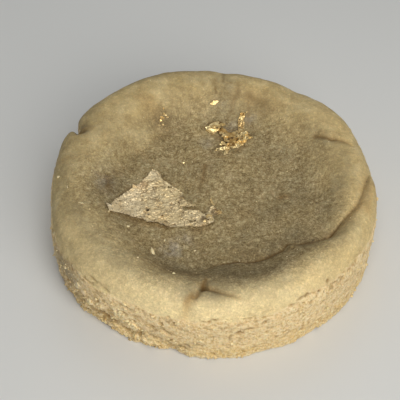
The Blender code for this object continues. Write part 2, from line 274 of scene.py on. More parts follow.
def make_object(name, points, faces, attributes=None, shade=True):
    """A mesh object from points in millimetres of the plan."""
    mesh = bpy.data.meshes.new(name)
    points = (np.asarray(points, np.float64) - MIDDLE) * MM
    faces = np.asarray(faces, np.int32)
    mesh.vertices.add(len(points))
    mesh.vertices.foreach_set("co", points.astype(np.float32).ravel())
    mesh.loops.add(faces.size)
    mesh.loops.foreach_set("vertex_index", faces.ravel())
    mesh.polygons.add(len(faces))
    mesh.polygons.foreach_set("loop_start", np.arange(0, faces.size, faces.shape[1], dtype=np.int32))
    mesh.polygons.foreach_set("loop_total", np.full(len(faces), faces.shape[1], np.int32))
    mesh.update(calc_edges=True)
    mesh.validate()
    for key, values in (attributes or {}).items():
        mesh.attributes.new(key, "FLOAT", "POINT").data.foreach_set("value", np.asarray(values, np.float32))
    if shade:
        mesh.shade_smooth()
    obj = bpy.data.objects.new(name, mesh)
    bpy.context.scene.collection.objects.link(obj)
    return obj


def normals_of(points, faces):
    a, b, c = points[faces[:, 0]], points[faces[:, 1]], points[faces[:, 2]]
    n = np.cross(b - a, c - a)
    out = np.zeros_like(points)
    for k in range(3):
        for axis in range(3):
            out[:, axis] += np.bincount(faces[:, k], n[:, axis], len(points))
    return out / np.maximum(np.linalg.norm(out, axis=1, keepdims=True), 1e-12)


def zipper(start_a, na, off_a, start_b, nb, off_b):
    """Triangles between ring a (inside or above) and ring b (outside or below); offsets are shares of a turn."""
    out = []
    i = j = 0
    while i < na or j < nb:
        next_a = (i + 1) / na + off_a
        next_b = (j + 1) / nb + off_b
        if j >= nb or (i < na and next_a <= next_b):
            out.append((start_a + i % na, start_b + j % nb, start_a + (i + 1) % na))
            i += 1
        else:
            out.append((start_a + i % na, start_b + j % nb, start_b + (j + 1) % nb))
            j += 1
    return out


STEP = 0.325


def cookie_rings():
    """Ring number, count and offset of each ring, from the middle of the top down to the middle of the underside.

    0..2 runs from the middle to the crest, 2..3 over the shoulder, 3..4 down the side, 4..5 round the bottom edge, 5..6 to the middle of the underside."""
    full = int(2 * math.pi * COOKIE_R / STEP)
    rings = []
    n_top = int(CREST_R / STEP)
    for k in range(1, n_top + 1):
        rings.append((2.0 * k / n_top, max(8, int(2 * math.pi * CREST_R * k / n_top / STEP))))
    n_shoulder = int(11.3 / STEP)
    for k in range(1, n_shoulder + 1):
        share = k / n_shoulder
        rings.append((2.0 + share, int(full * (CREST_R + (COOKIE_R - CREST_R) * math.sin(1.5708 * share)) / COOKIE_R)))
    n_side = int((SIDE_H - EDGE) / STEP)
    for k in range(1, n_side + 1):
        rings.append((3.0 + k / n_side, full))
    for k in range(1, 4):
        rings.append((4.0 + k / 3.0, full))
    for k, share in enumerate((0.02, 0.06, 0.13, 0.23, 0.36, 0.52, 0.70, 0.86)):
        rings.append((5.0 + share, max(12, int(full * (1.0 - share) / (1.0 + 1.1 * (k + 1))))))
    return rings


def build_cookie():
    rings = cookie_rings()
    number, bearing, faces, starts = [np.zeros(1)], [np.zeros(1)], [], []
    at = 1
    for k, (ring, count) in enumerate(rings):
        offset = 0.5 * (k % 2) / count
        starts.append((at, count, offset))
        number.append(np.full(count, ring))
        bearing.append(360.0 * (np.arange(count) / count + offset))
        at += count
    number.append(np.full(1, 6.0))
    bearing.append(np.zeros(1))
    number, bearing = np.concatenate(number), np.concatenate(bearing)
    s, n, _ = starts[0]
    faces += [(0, s + i, s + (i + 1) % n) for i in range(n)]
    for a, b in zip(starts[:-1], starts[1:]):
        faces += zipper(*a, *b)
    s, n, _ = starts[-1]
    faces += [(at, s + (i + 1) % n, s + i) for i in range(n)]
    faces = np.array(faces, np.int64)

    edge_r, crest_r = outline(bearing), crest_radius(bearing)
    flat = np.clip(number, 0.0, 2.0) / 2.0 * crest_r
    turn = np.clip(number - 2.0, 0.0, 1.0) * 1.5708
    r_top = flat + np.sin(turn) * (edge_r - crest_r)
    # the ring nearest the fold line is drawn onto it, so that the fold is a clean line
    gap = fold_radius(bearing) - r_top
    share = fold_share(bearing)
    near = (np.abs(gap) < 0.5 * STEP) & (share > 0.02) & (number < 2.95)
    r_top = np.where(near, r_top + gap, r_top)
    down = np.clip(number - 3.0, 0.0, 1.0)
    z_side = SIDE_H + (EDGE - SIDE_H) * down
    taper = BASE_R / COOKIE_R + (1.0 - BASE_R / COOKIE_R) * (np.clip(z_side, 0.0, SIDE_H) / SIDE_H) ** 0.7
    r_side = edge_r * taper - side_inset(bearing, z_side)
    round_share = np.clip(number - 4.0, 0.0, 1.0) * 1.5708
    r_edge = edge_r * (BASE_R / COOKIE_R + (1.0 - BASE_R / COOKIE_R) * (EDGE / SIDE_H) ** 0.7) - side_inset(bearing, EDGE) - EDGE * (1.0 - np.cos(round_share))
    z_edge = EDGE * (1.0 - np.sin(round_share))
    inward = np.clip(number - 5.0, 0.0, 1.0)
    r_base = (edge_r * BASE_R / COOKIE_R - side_inset(bearing, 0.0) - EDGE) * (1.0 - inward)
    r = np.where(number <= 3.0, r_top, np.where(number <= 4.0, r_side, np.where(number <= 5.0, r_edge, r_base)))
    x, y = r * np.cos(np.radians(bearing)), r * np.sin(np.radians(bearing))
    z = np.where(number <= 3.0, top_level(x, y), np.where(number <= 4.0, z_side, np.where(number <= 5.0, z_edge, 0.0)))
    points = np.stack([x, y, z], 1)
    return points, faces, number, bearing


def crumb_share(points, number, bearing):
    """1 on the broken, sandy side, 0 on the smooth skin of the top and shoulder."""
    wander = 1.2 * fractal(points * np.array([1.0, 1.0, 0.6]), 7.0, 5, 3) + 0.5 * fractal(points, 1.6, 6, 2)
    limit = 15.0 + wander - 0.6 * lobe(bearing, -120, 25) + 1.0 * lobe(bearing, -52, 18)
    share = smooth((limit - points[:, 2]) / 0.9 + 0.5)
    return np.where(number > 2.0, share, 0.0) * np.where(number > 4.9, 0.35, 1.0)


SIDE_MARKS = (  # bearing, level, half length, half height, tilt in degrees, relief, tone (painted shade in the dent below 0, pale above)
    (-57.1, 16.1, 0.95, 0.17, 0, -0.22, -1.0), (-59.7, 15.9, 1.0, 0.15, 6, -0.2, -0.75), (-54.8, 15.9, 0.8, 0.15, 0, -0.2, -0.6), (-52.4, 15.45, 0.42, 0.28, 0, -0.4, -1.0), (-48.3, 16.2, 0.4, 0.28, 0, -0.45, -1.0),
    (-45.8, 14.9, 1.1, 0.2, 0, -0.3, -0.6), (-51.0, 11.5, 0.3, 0.3, 0, -0.4, -0.9),
    (-61.0, 7.8, 0.3, 0.3, 0, -0.4, -0.9), (-68.0, 6.0, 0.35, 0.3, 0, -0.4, -0.9), (-72.5, 13.0, 0.5, 0.28, 10, -0.4, -0.8), (-63.0, 15.4, 0.7, 0.22, -10, -0.3, -0.6),
    (-80.8, 10.4, 0.8, 0.7, 20, -0.9, -0.9), (-77.8, 11.5, 1.3, 0.25, -8, -0.4, -0.8), (-84.0, 9.0, 0.5, 0.3, 30, -0.3, -0.5), (-89.0, 15.3, 1.0, 0.22, 12, -0.4, -0.9),
    (-92.5, 15.0, 0.9, 0.2, -10, -0.3, -0.6), (-91.0, 12.5, 0.6, 0.2, 0, -0.25, -0.5), (-105.6, 9.0, 1.3, 0.35, -20, -0.7, -0.9), (-109.5, 5.5, 1.1, 0.35, -15, -0.6, -0.8),
    (-98.0, 5.0, 1.6, 0.4, -12, -0.8, -0.9), (-94.3, 6.0, 1.0, 0.3, 10, -0.6, -0.8), (-101.0, 3.6, 0.8, 0.3, 0, -0.5, -0.7), (-118.7, 13.1, 1.4, 0.28, -8, -0.6, -0.9),
    (-132.5, 16.0, 1.8, 0.25, -6, -0.4, -0.6), (-127.0, 15.4, 1.0, 0.22, -12, -0.3, -0.5), (-115.5, 4.8, 0.5, 0.5, 0, -0.8, -1.0), (-150.0, 11.0, 0.9, 1.3, 60, -0.6, -0.6),
    (-147.0, 7.4, 1.2, 0.7, -50, -0.9, -0.9), (-142.5, 4.2, 1.6, 0.7, -25, -0.9, -0.9), (-137.5, 3.2, 1.5, 0.6, -5, -0.9, -0.9), (-131.0, 5.6, 1.8, 0.6, 15, -0.9, -0.8),
    (-126.5, 4.6, 1.5, 0.55, -10, -0.9, -0.9), (-121.0, 3.6, 1.3, 0.5, 0, -0.7, -0.7), (-139.8, 10.8, 1.2, 0.75, 20, 0.6, 1.0), (-137.0, 9.7, 0.9, 0.6, -20, 0.5, 0.9),
    (-134.3, 7.7, 0.9, 0.6, 0, 0.6, 0.9), (-129.5, 8.6, 0.7, 0.5, 0, 0.4, 0.6), (-123.5, 10.6, 0.8, 0.7, 30, 0.35, 0.7), (-120.0, 9.0, 1.0, 0.7, 0, 0.35, 0.7),
    (-117.0, 7.0, 0.9, 0.6, -20, 0.4, 0.8), (-112.5, 7.8, 1.1, 0.5, 0, 0.3, 0.6), (-145.0, 13.0, 1.2, 0.5, -30, 0.3, 0.5), (-140.0, 1.2, 1.5, 0.7, 0, 0.5, 0.2),
    (-129.0, 2.0, 1.8, 0.8, 0, 0.5, 0.3), (-122.0, 1.4, 1.6, 0.7, 0, 0.5, 0.2), (-112.0, 2.6, 1.3, 0.8, 0, 0.4, 0.3))


def side_marks(bearing, z):
    relief, dent_shade, pale = 0.0 * z, 0.0 * z, 0.0 * z
    for at, level, long, high, tilt, depth, tone in SIDE_MARKS:
        along, up = wrap(bearing - at) * math.radians(1.0) * COOKIE_R, z - level
        c, q = math.cos(math.radians(tilt)), math.sin(math.radians(tilt))
        bell = np.exp(-(((c * along + q * up) / long) ** 2) - ((c * up - q * along) / high) ** 2)
        relief = relief + depth * bell
        if tone < 0:
            dent_shade = np.maximum(dent_shade, -tone * bell)
        else:
            pale = np.maximum(pale, tone * bell)
    return relief, dent_shade, pale


def skin_relief(points):
    return 0.20 * fractal(points, 6.0, 11, 3) + 0.045 * fractal(points, 1.3, 12, 2)


def detail(points, faces, number, bearing):
    """Moves the points along their normals by the dough's own relief. Returns the points and the masks for the colour."""
    n = normals_of(points, faces)
    crumb = crumb_share(points, number, bearing)
    skin = (1.0 - crumb) * (number < 5.0)
    on_side = crumb * (number < 4.95)
    relief = skin * skin_relief(points)
    # broken crumb: grains, lumps and pits, coarsest low down at the front left
    near, second, tone = cells(points, 1.15, 21)
    fine_near, fine_second, fine_tone = cells(points, 0.62, 22)
    grains = 0.30 * (0.55 - near) + 0.16 * (0.5 - fine_near)
    lumps = 0.45 * fractal(points, 4.2, 23, 3)
    hole_near, _, hole_tone = cells(points * np.array([1.0, 1.0, 1.3]), 2.6, 24)
    holes = smooth((0.27 - hole_near) / 0.16) * (hole_tone > 0.42)
    z = points[:, 2]
    left = lobe(bearing, -132, 30)
    low = smooth((8.5 - z) / 3.5)
    rough = 0.70 + 0.15 * lobe(bearing, 60, 80) + left * (1.0 * low - 0.40 * (1.0 - low)) + 0.35 * low * (1.0 - left)
    broken = fractal(points * np.array([1.0, 1.0, 1.2]), 2.3, 25, 2)
    overhang = left * low * (0.75 * broken + 0.25 * smooth((z - 5.0) / 3.0))
    jitter = 0.30 * value_noise(points, 0.9, 26)
    marks, dent_shade, pale = side_marks(bearing + 0.8 * jitter, z + jitter)
    marks, dent_shade, pale = (v * (number > 2.0) * (number < 4.95) for v in (marks, dent_shade, pale))
    relief = relief + on_side * (rough * (grains + lumps * (0.5 + 0.5 * low) - 0.7 * holes) + overhang) + marks
    # short level cracks where the skin ends
    band = np.exp(-(((points[:, 2] - 14.4) / 1.3) ** 2)) * (number > 2.0) * (number < 4.0)
    flat = np.stack([points[:, 0], points[:, 1], points[:, 2] * 3.2], 1)
    line = np.abs(fractal(flat, 4.0, 31, 2, 0.4))
    gate = smooth((fractal(points, 9.0, 32, 1) - 0.05) / 0.3)
    cracks = band * gate * smooth((0.055 - line) / 0.04)
    relief = relief - 0.35 * cracks
    relief = np.where(number >= 5.0, 0.0, relief)
    moved = points + n * relief[:, None]
    moved[:, 2] = np.where(number >= 4.99, 0.0, np.maximum(moved[:, 2], 0.0))
    # painted shade: the side is darkened in its holes, the gaps between grains, the cracks, the hollows under the
    # overhangs and the dents of the side marks
    deep = smooth((-0.10 - broken) / 0.30) * left * low
    pit_shade = np.clip(on_side * (0.9 * holes + 0.7 * smooth((near - 0.62) / 0.3) + 0.75 * deep) + 1.0 * cracks, 0.0, 1.0)
    pit_shade = np.maximum(pit_shade * (1.0 - 0.8 * pale), 0.8 * dent_shade)
    rugged = on_side * np.clip(1.3 * lobe(bearing, -136, 28), 0.0, 1.0) * smooth((12.5 - z) / 3.0)
    shade = 1.0 - 0.13 * lobe(bearing, -150, 11) - 0.36 * lobe(bearing, -146, 8) * smooth((z - 7.0) / 4.0) + 0.13 * lobe(bearing, -124, 17) - 0.02 * lobe(bearing, -67, 12) - 0.08 * lobe(bearing, -38, 14)
    # painted bounce light from the floor: the foot of the side is paler, most at the front
    foot = smooth((1.7 - z) / 1.5) * (number > 3.0) * (number < 5.3) * (0.2 + 0.8 * lobe(bearing, -82, 44))
    return moved, {"shade": shade, "foot": foot, "crumb": crumb, "pit_shade": pit_shade, "low": on_side * smooth((7.5 - z) / 7.0), "pale": pale, "rugged": rugged, "calm": lobe(bearing, -70, 70), "gap": dent_shade}


def ground(x, y):
    """Height of the finished skin of the top at plan points."""
    points = np.stack([x, y, top_level(x, y)], 1)
    return points[:, 2] + skin_relief(points)


def edge_distance(x, y, corners):
    """Distance to the closed outline, positive inside."""
    corners = np.asarray(corners, np.float64)
    away = np.full(len(x), 1e9)
    inside = np.zeros(len(x), bool)
    for a, b in zip(corners, np.roll(corners, -1, axis=0)):
        away = np.minimum(away, beside(x, y, a, b)[0])
        crosses = (a[1] > y) != (b[1] > y)
        if a[1] != b[1]:
            inside ^= crosses & (x < (b[0] - a[0]) * (y - a[1]) / (b[1] - a[1]) + a[0])
    return np.where(inside, away, -away)


def sheet(corners, holes, cell, ragged, seed):
    """Flat triangles that fill a torn outline: (x, y, faces, distance to the edge). Holes are (x, y, radius)."""
    corners = np.asarray(corners, np.float64)
    low, high = corners.min(0) - 0.6, corners.max(0) + 0.6
    nx, ny = (np.ceil((high - low) / cell)).astype(int) + 1
    gx, gy = np.meshgrid(low[0] + cell * np.arange(nx), low[1] + cell * np.arange(ny), indexing="ij")
    x, y = gx.ravel(), gy.ravel()
    flat = np.stack([x, y, 0.0 * x], 1)
    field = edge_distance(x, y, corners) + ragged * (0.6 * fractal(flat, 0.9, seed, 2) + 0.5 * value_noise(flat, 0.32, seed + 5))
    for hx, hy, hr in holes:
        field = np.minimum(field, np.hypot(x - hx, (y - hy) * 1.25) - hr * (1.0 + 0.5 * value_noise(flat, 0.35, seed + 9)))
    field = np.where(np.abs(field) < 1e-3, 1e-3, field)
    at = np.arange(nx * ny).reshape(nx, ny)
    a, b, c, d = at[:-1, :-1].ravel(), at[1:, :-1].ravel(), at[1:, 1:].ravel(), at[:-1, 1:].ravel()
    odd = ((a // ny + a % ny) % 2).astype(bool)
    tri = np.concatenate([np.stack([a, b, np.where(odd, d, c)], 1), np.stack([np.where(odd, b, a), c, d], 1)])
    positive = field[tri] > 0
    count = positive.sum(1)
    faces = [tuple(t) for t in tri[count == 3]]
    xs, ys, fs = list(x), list(y), list(field)
    made = {}

    def between(i, j):
        key = (min(i, j), max(i, j))
        if key not in made:
            t = field[i] / (field[i] - field[j])
            made[key] = len(xs)
            xs.append(x[i] + t * (x[j] - x[i]))
            ys.append(y[i] + t * (y[j] - y[i]))
            fs.append(0.0)
        return made[key]

    for t, keep in zip(tri[(count > 0) & (count < 3)], positive[(count > 0) & (count < 3)]):
        k = int(np.argmax(keep)) if keep.sum() == 1 else int(np.argmin(keep))
        i, j, m = t[k], t[(k + 1) % 3], t[(k + 2) % 3]
        if keep.sum() == 1:
            faces.append((i, between(i, j), between(i, m)))
        else:
            p, q = between(i, j), between(i, m)
            faces.append((p, j, m))
            faces.append((p, m, q))
    faces = np.array(faces, np.int64)
    used = np.unique(faces)
    number = np.full(len(xs), -1)
    number[used] = np.arange(len(used))
    return np.array(xs)[used], np.array(ys)[used], number[faces], np.array(fs)[used]


def thicken(points, faces, thickness):
    """Closed thin body from an open sheet: the sheet, a copy under it and the torn edge between them."""
    n = len(points)
    under = points - np.array([0.0, 0.0, thickness])
    ends = np.concatenate([faces[:, [0, 1]], faces[:, [1, 2]], faces[:, [2, 0]]])
    key = np.minimum(ends[:, 0], ends[:, 1]) * n + np.maximum(ends[:, 0], ends[:, 1])
    _, first, times = np.unique(key, return_index=True, return_counts=True)
    rim = ends[first[times == 1]]
    walls = np.concatenate([np.stack([rim[:, 0], rim[:, 0] + n, rim[:, 1]], 1), np.stack([rim[:, 1], rim[:, 0] + n, rim[:, 1] + n], 1)])
    return np.concatenate([points, under]), np.concatenate([faces, faces[:, ::-1] + n, walls])


def lie_on_top(x, y, level, height):
    """Plan points drawn at one level, moved along the line of sight so that they lie on the dough at a height above it."""
    gy = y
    for _ in range(3):
        z = ground(x, gy) + height
        gy = y - (z - level) / math.tan(math.radians(49.0))
    return np.stack([x, gy, ground(x, gy) + height], 1)


def crease_mask(x, y, bearing, r):
    """Painted shade in the folds and the narrow grooves of the top, drawn as a dark brown line."""
    share = fold_share(bearing)
    away = np.abs(r - fold_radius(bearing))
    line = share * np.exp(-((away / 0.34) ** 2)) * (1.0 - 0.40 * smooth((wrap(bearing) + 30.0) / 18.0))
    line = line * (1.0 - 0.6 * smooth((-78.0 - wrap(bearing)) / 12.0))
    for a, b, width, one, two in (((-1.1, -27.9), (-1.6, -30.3), 0.42, 0.65, 1.15), ((-1.6, -30.0), (-1.75, -31.0), 0.55, 1.15, 1.0), ((-1.0, -31.2), (5.4, -33.4), 0.36, 0.65, 0.2),
                                  ((-1.9, -31.5), (-3.0, -32.9), 0.42, 0.35, 0.1), ((-32.2, 17.0), (-30.7, 14.4), 0.6, 0.95, 0.95), ((-30.7, 14.4), (-28.2, 14.0), 0.6, 0.95, 0.1),
                                  ((24.0, 13.4), (27.8, 12.0), 0.4, 0.5, 0.8), ((27.8, 12.0), (32.0, 10.5), 0.35, 0.7, 0.25), ((-23.4, 1.8), (-23.2, -0.8), 0.4, 0.3, 0.5),
                                  ((2.9, 33.4), (2.85, 29.8), 0.42, 0.45, 0.6), ((3.7, 30.4), (4.6, 29.3), 0.45, 0.25, 0.45), ((6.3, 29.8), (6.45, 26.5), 0.6, 0.3, 0.55), ((5.7, 26.1), (4.8, 25.0), 0.5, 0.5, 0.3),
                                  ((0.9, 28.8), (1.1, 27.2), 0.3, 0.5, 0.8), ((1.6, 31.8), (0.6, 29.4), 0.55, 0.35, 0.5), ((8.6, 26.4), (12.4, 24.2), 0.8, 0.45, 0.3), ((4.2, 22.6), (5.2, 24.0), 0.4, 0.2, 0.35),
                                  ((-1.4, 7.6), (-1.9, 3.3), 0.35, 0.6, 0.4), ((-1.9, 3.3), (-2.6, 0.6), 0.35, 0.4, 0.1)):
        line = np.maximum(line, groove(x, y, a, b, width, one, two))
    return line


# the narrow marks along the large gold leaf's edges and around the crumpled gold scraps are painted shadow; the rest
# are brown marks in the skin
STAINS_AND_SHADOWS = (  # warm brown marks and painted shadow on the skin: from, to, half width, strength at each end
    ((-1.7, -31.3), (-3.4, -33.3), 0.8, 0.6, 0.8), ((-3.4, -33.3), (-5.0, -34.9), 0.95, 0.9, 0.85), ((-5.0, -34.9), (-6.2, -36.9), 0.9, 0.7, 0.3),
    ((-1.5, -30.6), (5.6, -33.4), 0.8, 0.85, 0.3), ((-1.0, -27.2), (-1.6, -30.6), 0.65, 0.4, 0.9), ((-2.2, -29.8), (-5.0, -27.8), 1.0, 0.4, 0.2),
    ((-32.0, 17.0), (-28.6, 14.9), 1.1, 0.9, 0.3), ((24.0, 13.4), (32.0, 10.5), 0.8, 0.6, 0.35), ((15.8, -2.4), (16.4, -2.2), 0.9, 1.1, 1.0),
    ((-1.4, 7.6), (-1.9, 3.3), 0.7, 0.6, 0.5), ((-1.9, 3.3), (-2.7, -0.6), 0.7, 0.5, 0.15), ((-20.9, -8.0), (-13.4, -10.4), 0.8, 0.4, 0.5),
    ((-13.4, -10.4), (-9.0, -11.7), 0.6, 0.5, 0.3), ((-14.5, 23.5), (-10.9, 17.6), 2.6, 0.35, 0.30), ((34.6, 0.5), (32.9, -8.0), 0.8, 0.40, 0.6), ((35.8, -1.5), (34.1, -9.5), 1.2, 0.35, 0.45),
    ((33.6, -7.0), (29.0, -12.6), 0.9, 0.7, 0.5), ((29.0, -12.6), (24.4, -15.6), 0.9, 0.5, 0.8), ((24.4, -15.6), (12.6, -19.6), 0.8, 0.6, 0.4),
    ((-10.0, -23.2), (-3.2, -26.0), 1.4, 0.3, 0.4), ((-23.6, 2.4), (-23.1, -1.6), 0.9, 0.55, 0.6), ((-22.0, 4.6), (-21.5, 3.6), 0.8, 0.5, 0.4), ((-34.0, 6.2), (-30.3, 5.3), 1.3, 0.35, 0.25), ((-24.1, -2.8), (-25.4, -3.6), 0.8, 0.4, 0.2),
    ((6.6, 27.8), (4.9, 24.0), 0.9, 0.2, 0.2),
    ((-12.5, -23.0), (-8.0, -25.0), 1.6, 0.3, 0.4), ((9.0, 26.0), (14.0, 23.0), 2.2, 0.35, 0.25), ((-28.4, 15.0), (-26.6, 14.8), 1.2, 0.4, 0.15), ((-1.1, 19.5), (0.5, 21.1), 0.5, 0.6, 0.9), ((0.5, 21.1), (3.2, 20.5), 0.5, 0.9, 0.4),
    ((0.9, 16.9), (3.3, 14.6), 0.5, 0.5, 0.8), ((-1.7, 19.4), (-0.4, 21.0), 0.5, 0.7, 0.9), ((3.9, 18.9), (5.9, 18.6), 0.45, 0.6, 0.6), ((8.8, 24.6), (8.6, 20.0), 0.45, 0.6, 0.5), ((2.6, 19.0), (5.0, 17.6), 0.5, 0.5, 0.6), ((1.0, 10.9), (4.4, 9.9), 0.5, 0.3, 0.5),
    ((4.8, 11.4), (8.2, 13.2), 0.5, 0.6, 0.5), ((-13.2, 5.5), (-9.0, 1.4), 0.45, 0.5, 0.4), ((-9.0, 1.4), (-6.2, -2.4), 0.45, 0.4, 0.6),
    ((-22.0, -4.3), (-18.4, 0.1), 0.4, 0.3, 0.5), ((-5.0, -5.9), (-1.8, -7.2), 0.5, 0.8, 0.5), ((-4.0, -11.7), (-1.0, -11.5), 0.5, 0.6, 0.5),
    ((4.4, -17.8), (12.0, -20.4), 1.2, 0.25, 0.35), ((-17.0, 12.0), (-13.6, 8.6), 1.0, 0.3, 0.2), ((6.6, -6.0), (9.5, -8.6), 1.4, 0.3, 0.15))
GREY_PATCHES = ((-8.2, -17.2, 2.6, 0.8), (-5.5, -14.0, 1.8, 0.5), (4.6, 19.4, 2.2, 0.5), (4.2, 28.4, 1.2, 0.3), (2.2, 24.8, 1.6, 0.25), (-1.0, 14.5, 2.0, 0.4), (-24.0, 0.5, 3.0, 0.5), (9.0, 21.0, 1.6, 0.5))


def stain_mask(x, y):
    away = 0.35 * fractal(np.stack([x, y, 0.0 * x], 1), 1.8, 81, 2)
    stain = 0.0 * x
    for a, b, width, one, two in STAINS_AND_SHADOWS:
        stain = np.maximum(stain, groove(x + away, y - away, a, b, width, one, two))
    grey = 0.0 * x
    for px, py, size, strength in GREY_PATCHES:
        grey = np.maximum(grey, strength * np.exp(-((x - px) ** 2 + (y - py) ** 2) / size ** 2))
    return stain, grey


def centre_mask(bearing, r):
    """1 on the browned middle of the top, 0 on the pale rim, with a wide soft change between them."""
    start = (19.5 + 3.0 * lobe(bearing, -120, 35) + 8.6 * lobe(bearing, -64, 31) + 5.0 * lobe(bearing, -15, 22)
             - 1.5 * lobe(bearing, 35, 22) - 3.0 * lobe(bearing, 140, 35) + 3.0 * lobe(bearing, 184, 20))
    end = (29.5 + 5.5 * lobe(bearing, -100, 60) + 4.5 * lobe(bearing, -20, 30) + 1.5 * lobe(bearing, 35, 20)
           + 5.0 * lobe(bearing, 186, 26) - 1.5 * lobe(bearing, 130, 30))
    wobble = 0.9 * np.sin(np.radians(bearing) * 5 + 2.0) + 0.6 * np.sin(np.radians(bearing) * 11 + 0.4)
    return 1.0 - smooth((r + wobble - start) / (end - start))


# the darker patches around the front fold and its pit (bearings about -106 to -60) and beside the right crease (about
# -37 to -24) are painted shade on slopes turned from the light
TONE_AND_SHADE_PATCHES = (  # bearing, radius, spread in degrees and in mm, how much lighter (+) or darker (-) the skin is there, as skin tone and as painted shade
    (-82, 27.8, 11, 3.0, -0.38), (-70, 29.0, 8, 2.2, -0.18), (-60, 28.8, 6, 1.6, -0.20), (-74, 34.0, 10, 3.0, -0.05), (-54, 33.5, 9, 3.0, 0.06), (-97, 33.0, 8, 2.0, -0.27), (-108, 27.8, 9, 2.0, 0.10),
    (-106, 25.0, 9, 2.6, -0.24), (-126, 31.2, 13, 2.2, -0.25), (-145, 30.5, 12, 3.0, -0.16), (-157, 31.2, 9, 2.2, -0.20), (-174, 32.6, 10, 1.8, -0.18),
    (-180, 27.0, 7, 1.8, 0.22), (-36, 32.0, 7, 2.0, -0.10), (-24, 33.2, 6, 1.6, -0.24), (-33, 35.5, 8, 2.0, -0.03), (-37, 23.3, 8, 2.2, -0.28), (-12, 31.0, 6, 1.8, 0.18),
    (0, 28.8, 8, 3.2, -0.28), (12, 30.8, 9, 2.5, -0.24), (24, 28.0, 7, 2.2, -0.30), (36, 28.0, 8, 2.0, -0.20), (22, 34.4, 14, 1.8, 0.12),
    (-48, 30.5, 8, 3.0, 0.12), (-47, 25.2, 5, 1.5, 0.18), (52, 27.5, 12, 3.0, -0.10), (64, 26.0, 9, 2.0, -0.20), (84, 29.2, 7, 2.0, -0.22),
    (84, 35.5, 9, 2.0, 0.15), (124, 23.8, 10, 2.0, -0.30), (134, 28.0, 10, 3.5, -0.14), (147, 26.0, 8, 4.0, -0.10), (160, 27.5, 9, 2.2, 0.13),
    (157, 32.5, 5, 1.6, -0.15), (10, 2.0, 180, 4.0, 0.14), (48, 9.5, 20, 2.5, 0.2), (66, 8.0, 14, 3.0, 0.25), (-48, 10.0, 12, 2.0, 0.18),
    (100, 18.5, 14, 2.5, 0.25), (112, 12.0, 18, 3.0, 0.14), (-24, 16.5, 9, 1.8, -0.22), (-6, 20.5, 12, 3.0, -0.18), (-122, 21.8, 9, 2.2, -0.20),
    (-66, 16.5, 9, 2.0, -0.12), (-90.0, 32.8, 5.5, 1.8, -0.44), (-93, 29.3, 8, 1.9, -0.27), (-97.5, 32.6, 4, 2.3, -0.16), (-84.5, 31.0, 7, 2.0, -0.24), (-103.5, 30.2, 4, 1.8, 0.10), (-98.2, 34.6, 2.4, 1.4, -0.22),
    (78, 23.8, 9, 2.6, -0.19), (66.5, 23.4, 6, 1.8, -0.15), (84, 27.0, 8, 2.2, -0.09), (116, 24.0, 6, 2.0, -0.10), (138, 23.2, 6, 2.2, -0.12), (176, 33.7, 3.5, 1.5, -0.16), (-177, 31.0, 4, 2.5, 0.08), (-126, 32.6, 5, 1.6, -0.14),
    (-160.5, 30.3, 4, 1.6, -0.14), (-35, 15.5, 8, 1.8, -0.09), (-54, 21.5, 5, 1.6, -0.12), (-117, 15.7, 6, 1.8, -0.12), (-34.5, 33.0, 5, 1.8, -0.16), (-36, 36.0, 6, 1.4, 0.04), (-50, 34.6, 6, 1.4, 0.05), (-55, 35.3, 5, 0.8, 0.06), (2, 30.0, 6, 2.5, -0.13), (-147, 35.8, 7, 1.2, -0.2), (-84, 21.0, 6, 1.3, 0.2), (-132, 16.5, 8, 1.5, 0.12), (-48, 21.2, 8, 1.2, -0.2))


def tone_and_shade(bearing, r, centre):
    """How light the dough is: about 1 on the palest, outer skin at the front, 0.4 in the browned middle; around the
    front fold, its pit and the right crease it is also darkened as painted shade.
    """
    rim = (0.72 + 0.27 * lobe(bearing, -97, 42) + 0.02 * lobe(bearing, -40, 28) + 0.01 * lobe(bearing, -5, 16)
           + 0.00 * lobe(bearing, 45, 22) - 0.08 * lobe(bearing, 80, 12) - 0.11 * lobe(bearing, 108, 14)
           - 0.15 * lobe(bearing, 154, 13) - 0.12 * lobe(bearing, 186, 22))
    rim = rim * (1.0 + smooth((r - 33.0) / 3.0) * (0.08 * lobe(bearing, -110, 30) - 0.08 * lobe(bearing, 100, 60)))
    ring = smooth((r - 17.0) / 4.0) * smooth((31.0 - r) / 4.0)
    # the ring near the front fold (bearing -72) is darker as painted shade from the fold; the ring at bearing -174 is
    # darker too
    middle = 0.388 * (1.0 - ring * (0.20 * lobe(bearing, -72, 38) + 0.28 * lobe(bearing, -174, 20)))
    tone = centre * middle + (1.0 - centre) * rim
    for at, radius, spread, width, strength in TONE_AND_SHADE_PATCHES:
        tone = tone * (1.0 + strength * lobe(bearing, at, spread) * np.exp(-(((r - radius) / width) ** 2)))
    return tone


# ------------------------------------------------------------------ materials


def new_material(name):
    mat = bpy.data.materials.new(name)
    mat.use_nodes = True
    tree = mat.node_tree
    return mat, tree, tree.nodes["Principled BSDF"]


def add(tree, kind, **values):
    node = tree.nodes.new(kind)
    for key, value in values.items():
        if key.startswith("in_"):
            node.inputs[int(key[3:])].default_value = value
        else:
            setattr(node, key, value)
    return node


def attribute(tree, name):
    return add(tree, "ShaderNodeAttribute", attribute_name=name).outputs["Fac"]


def noise(tree, vector, scale, detail_count=2.0, roughness=0.5):
    node = tree.nodes.new("ShaderNodeTexNoise")
    node.inputs["Scale"].default_value = scale
    node.inputs["Detail"].default_value = detail_count
    node.inputs["Roughness"].default_value = roughness
    tree.links.new(vector, node.inputs["Vector"])
    return node.outputs["Fac"]


def remap(tree, value, low, high, to_low=0.0, to_high=1.0):
    node = tree.nodes.new("ShaderNodeMapRange")
    node.inputs["From Min"].default_value = low
    node.inputs["From Max"].default_value = high
    node.inputs["To Min"].default_value = to_low
    node.inputs["To Max"].default_value = to_high
    tree.links.new(value, node.inputs["Value"])
    return node.outputs["Result"]


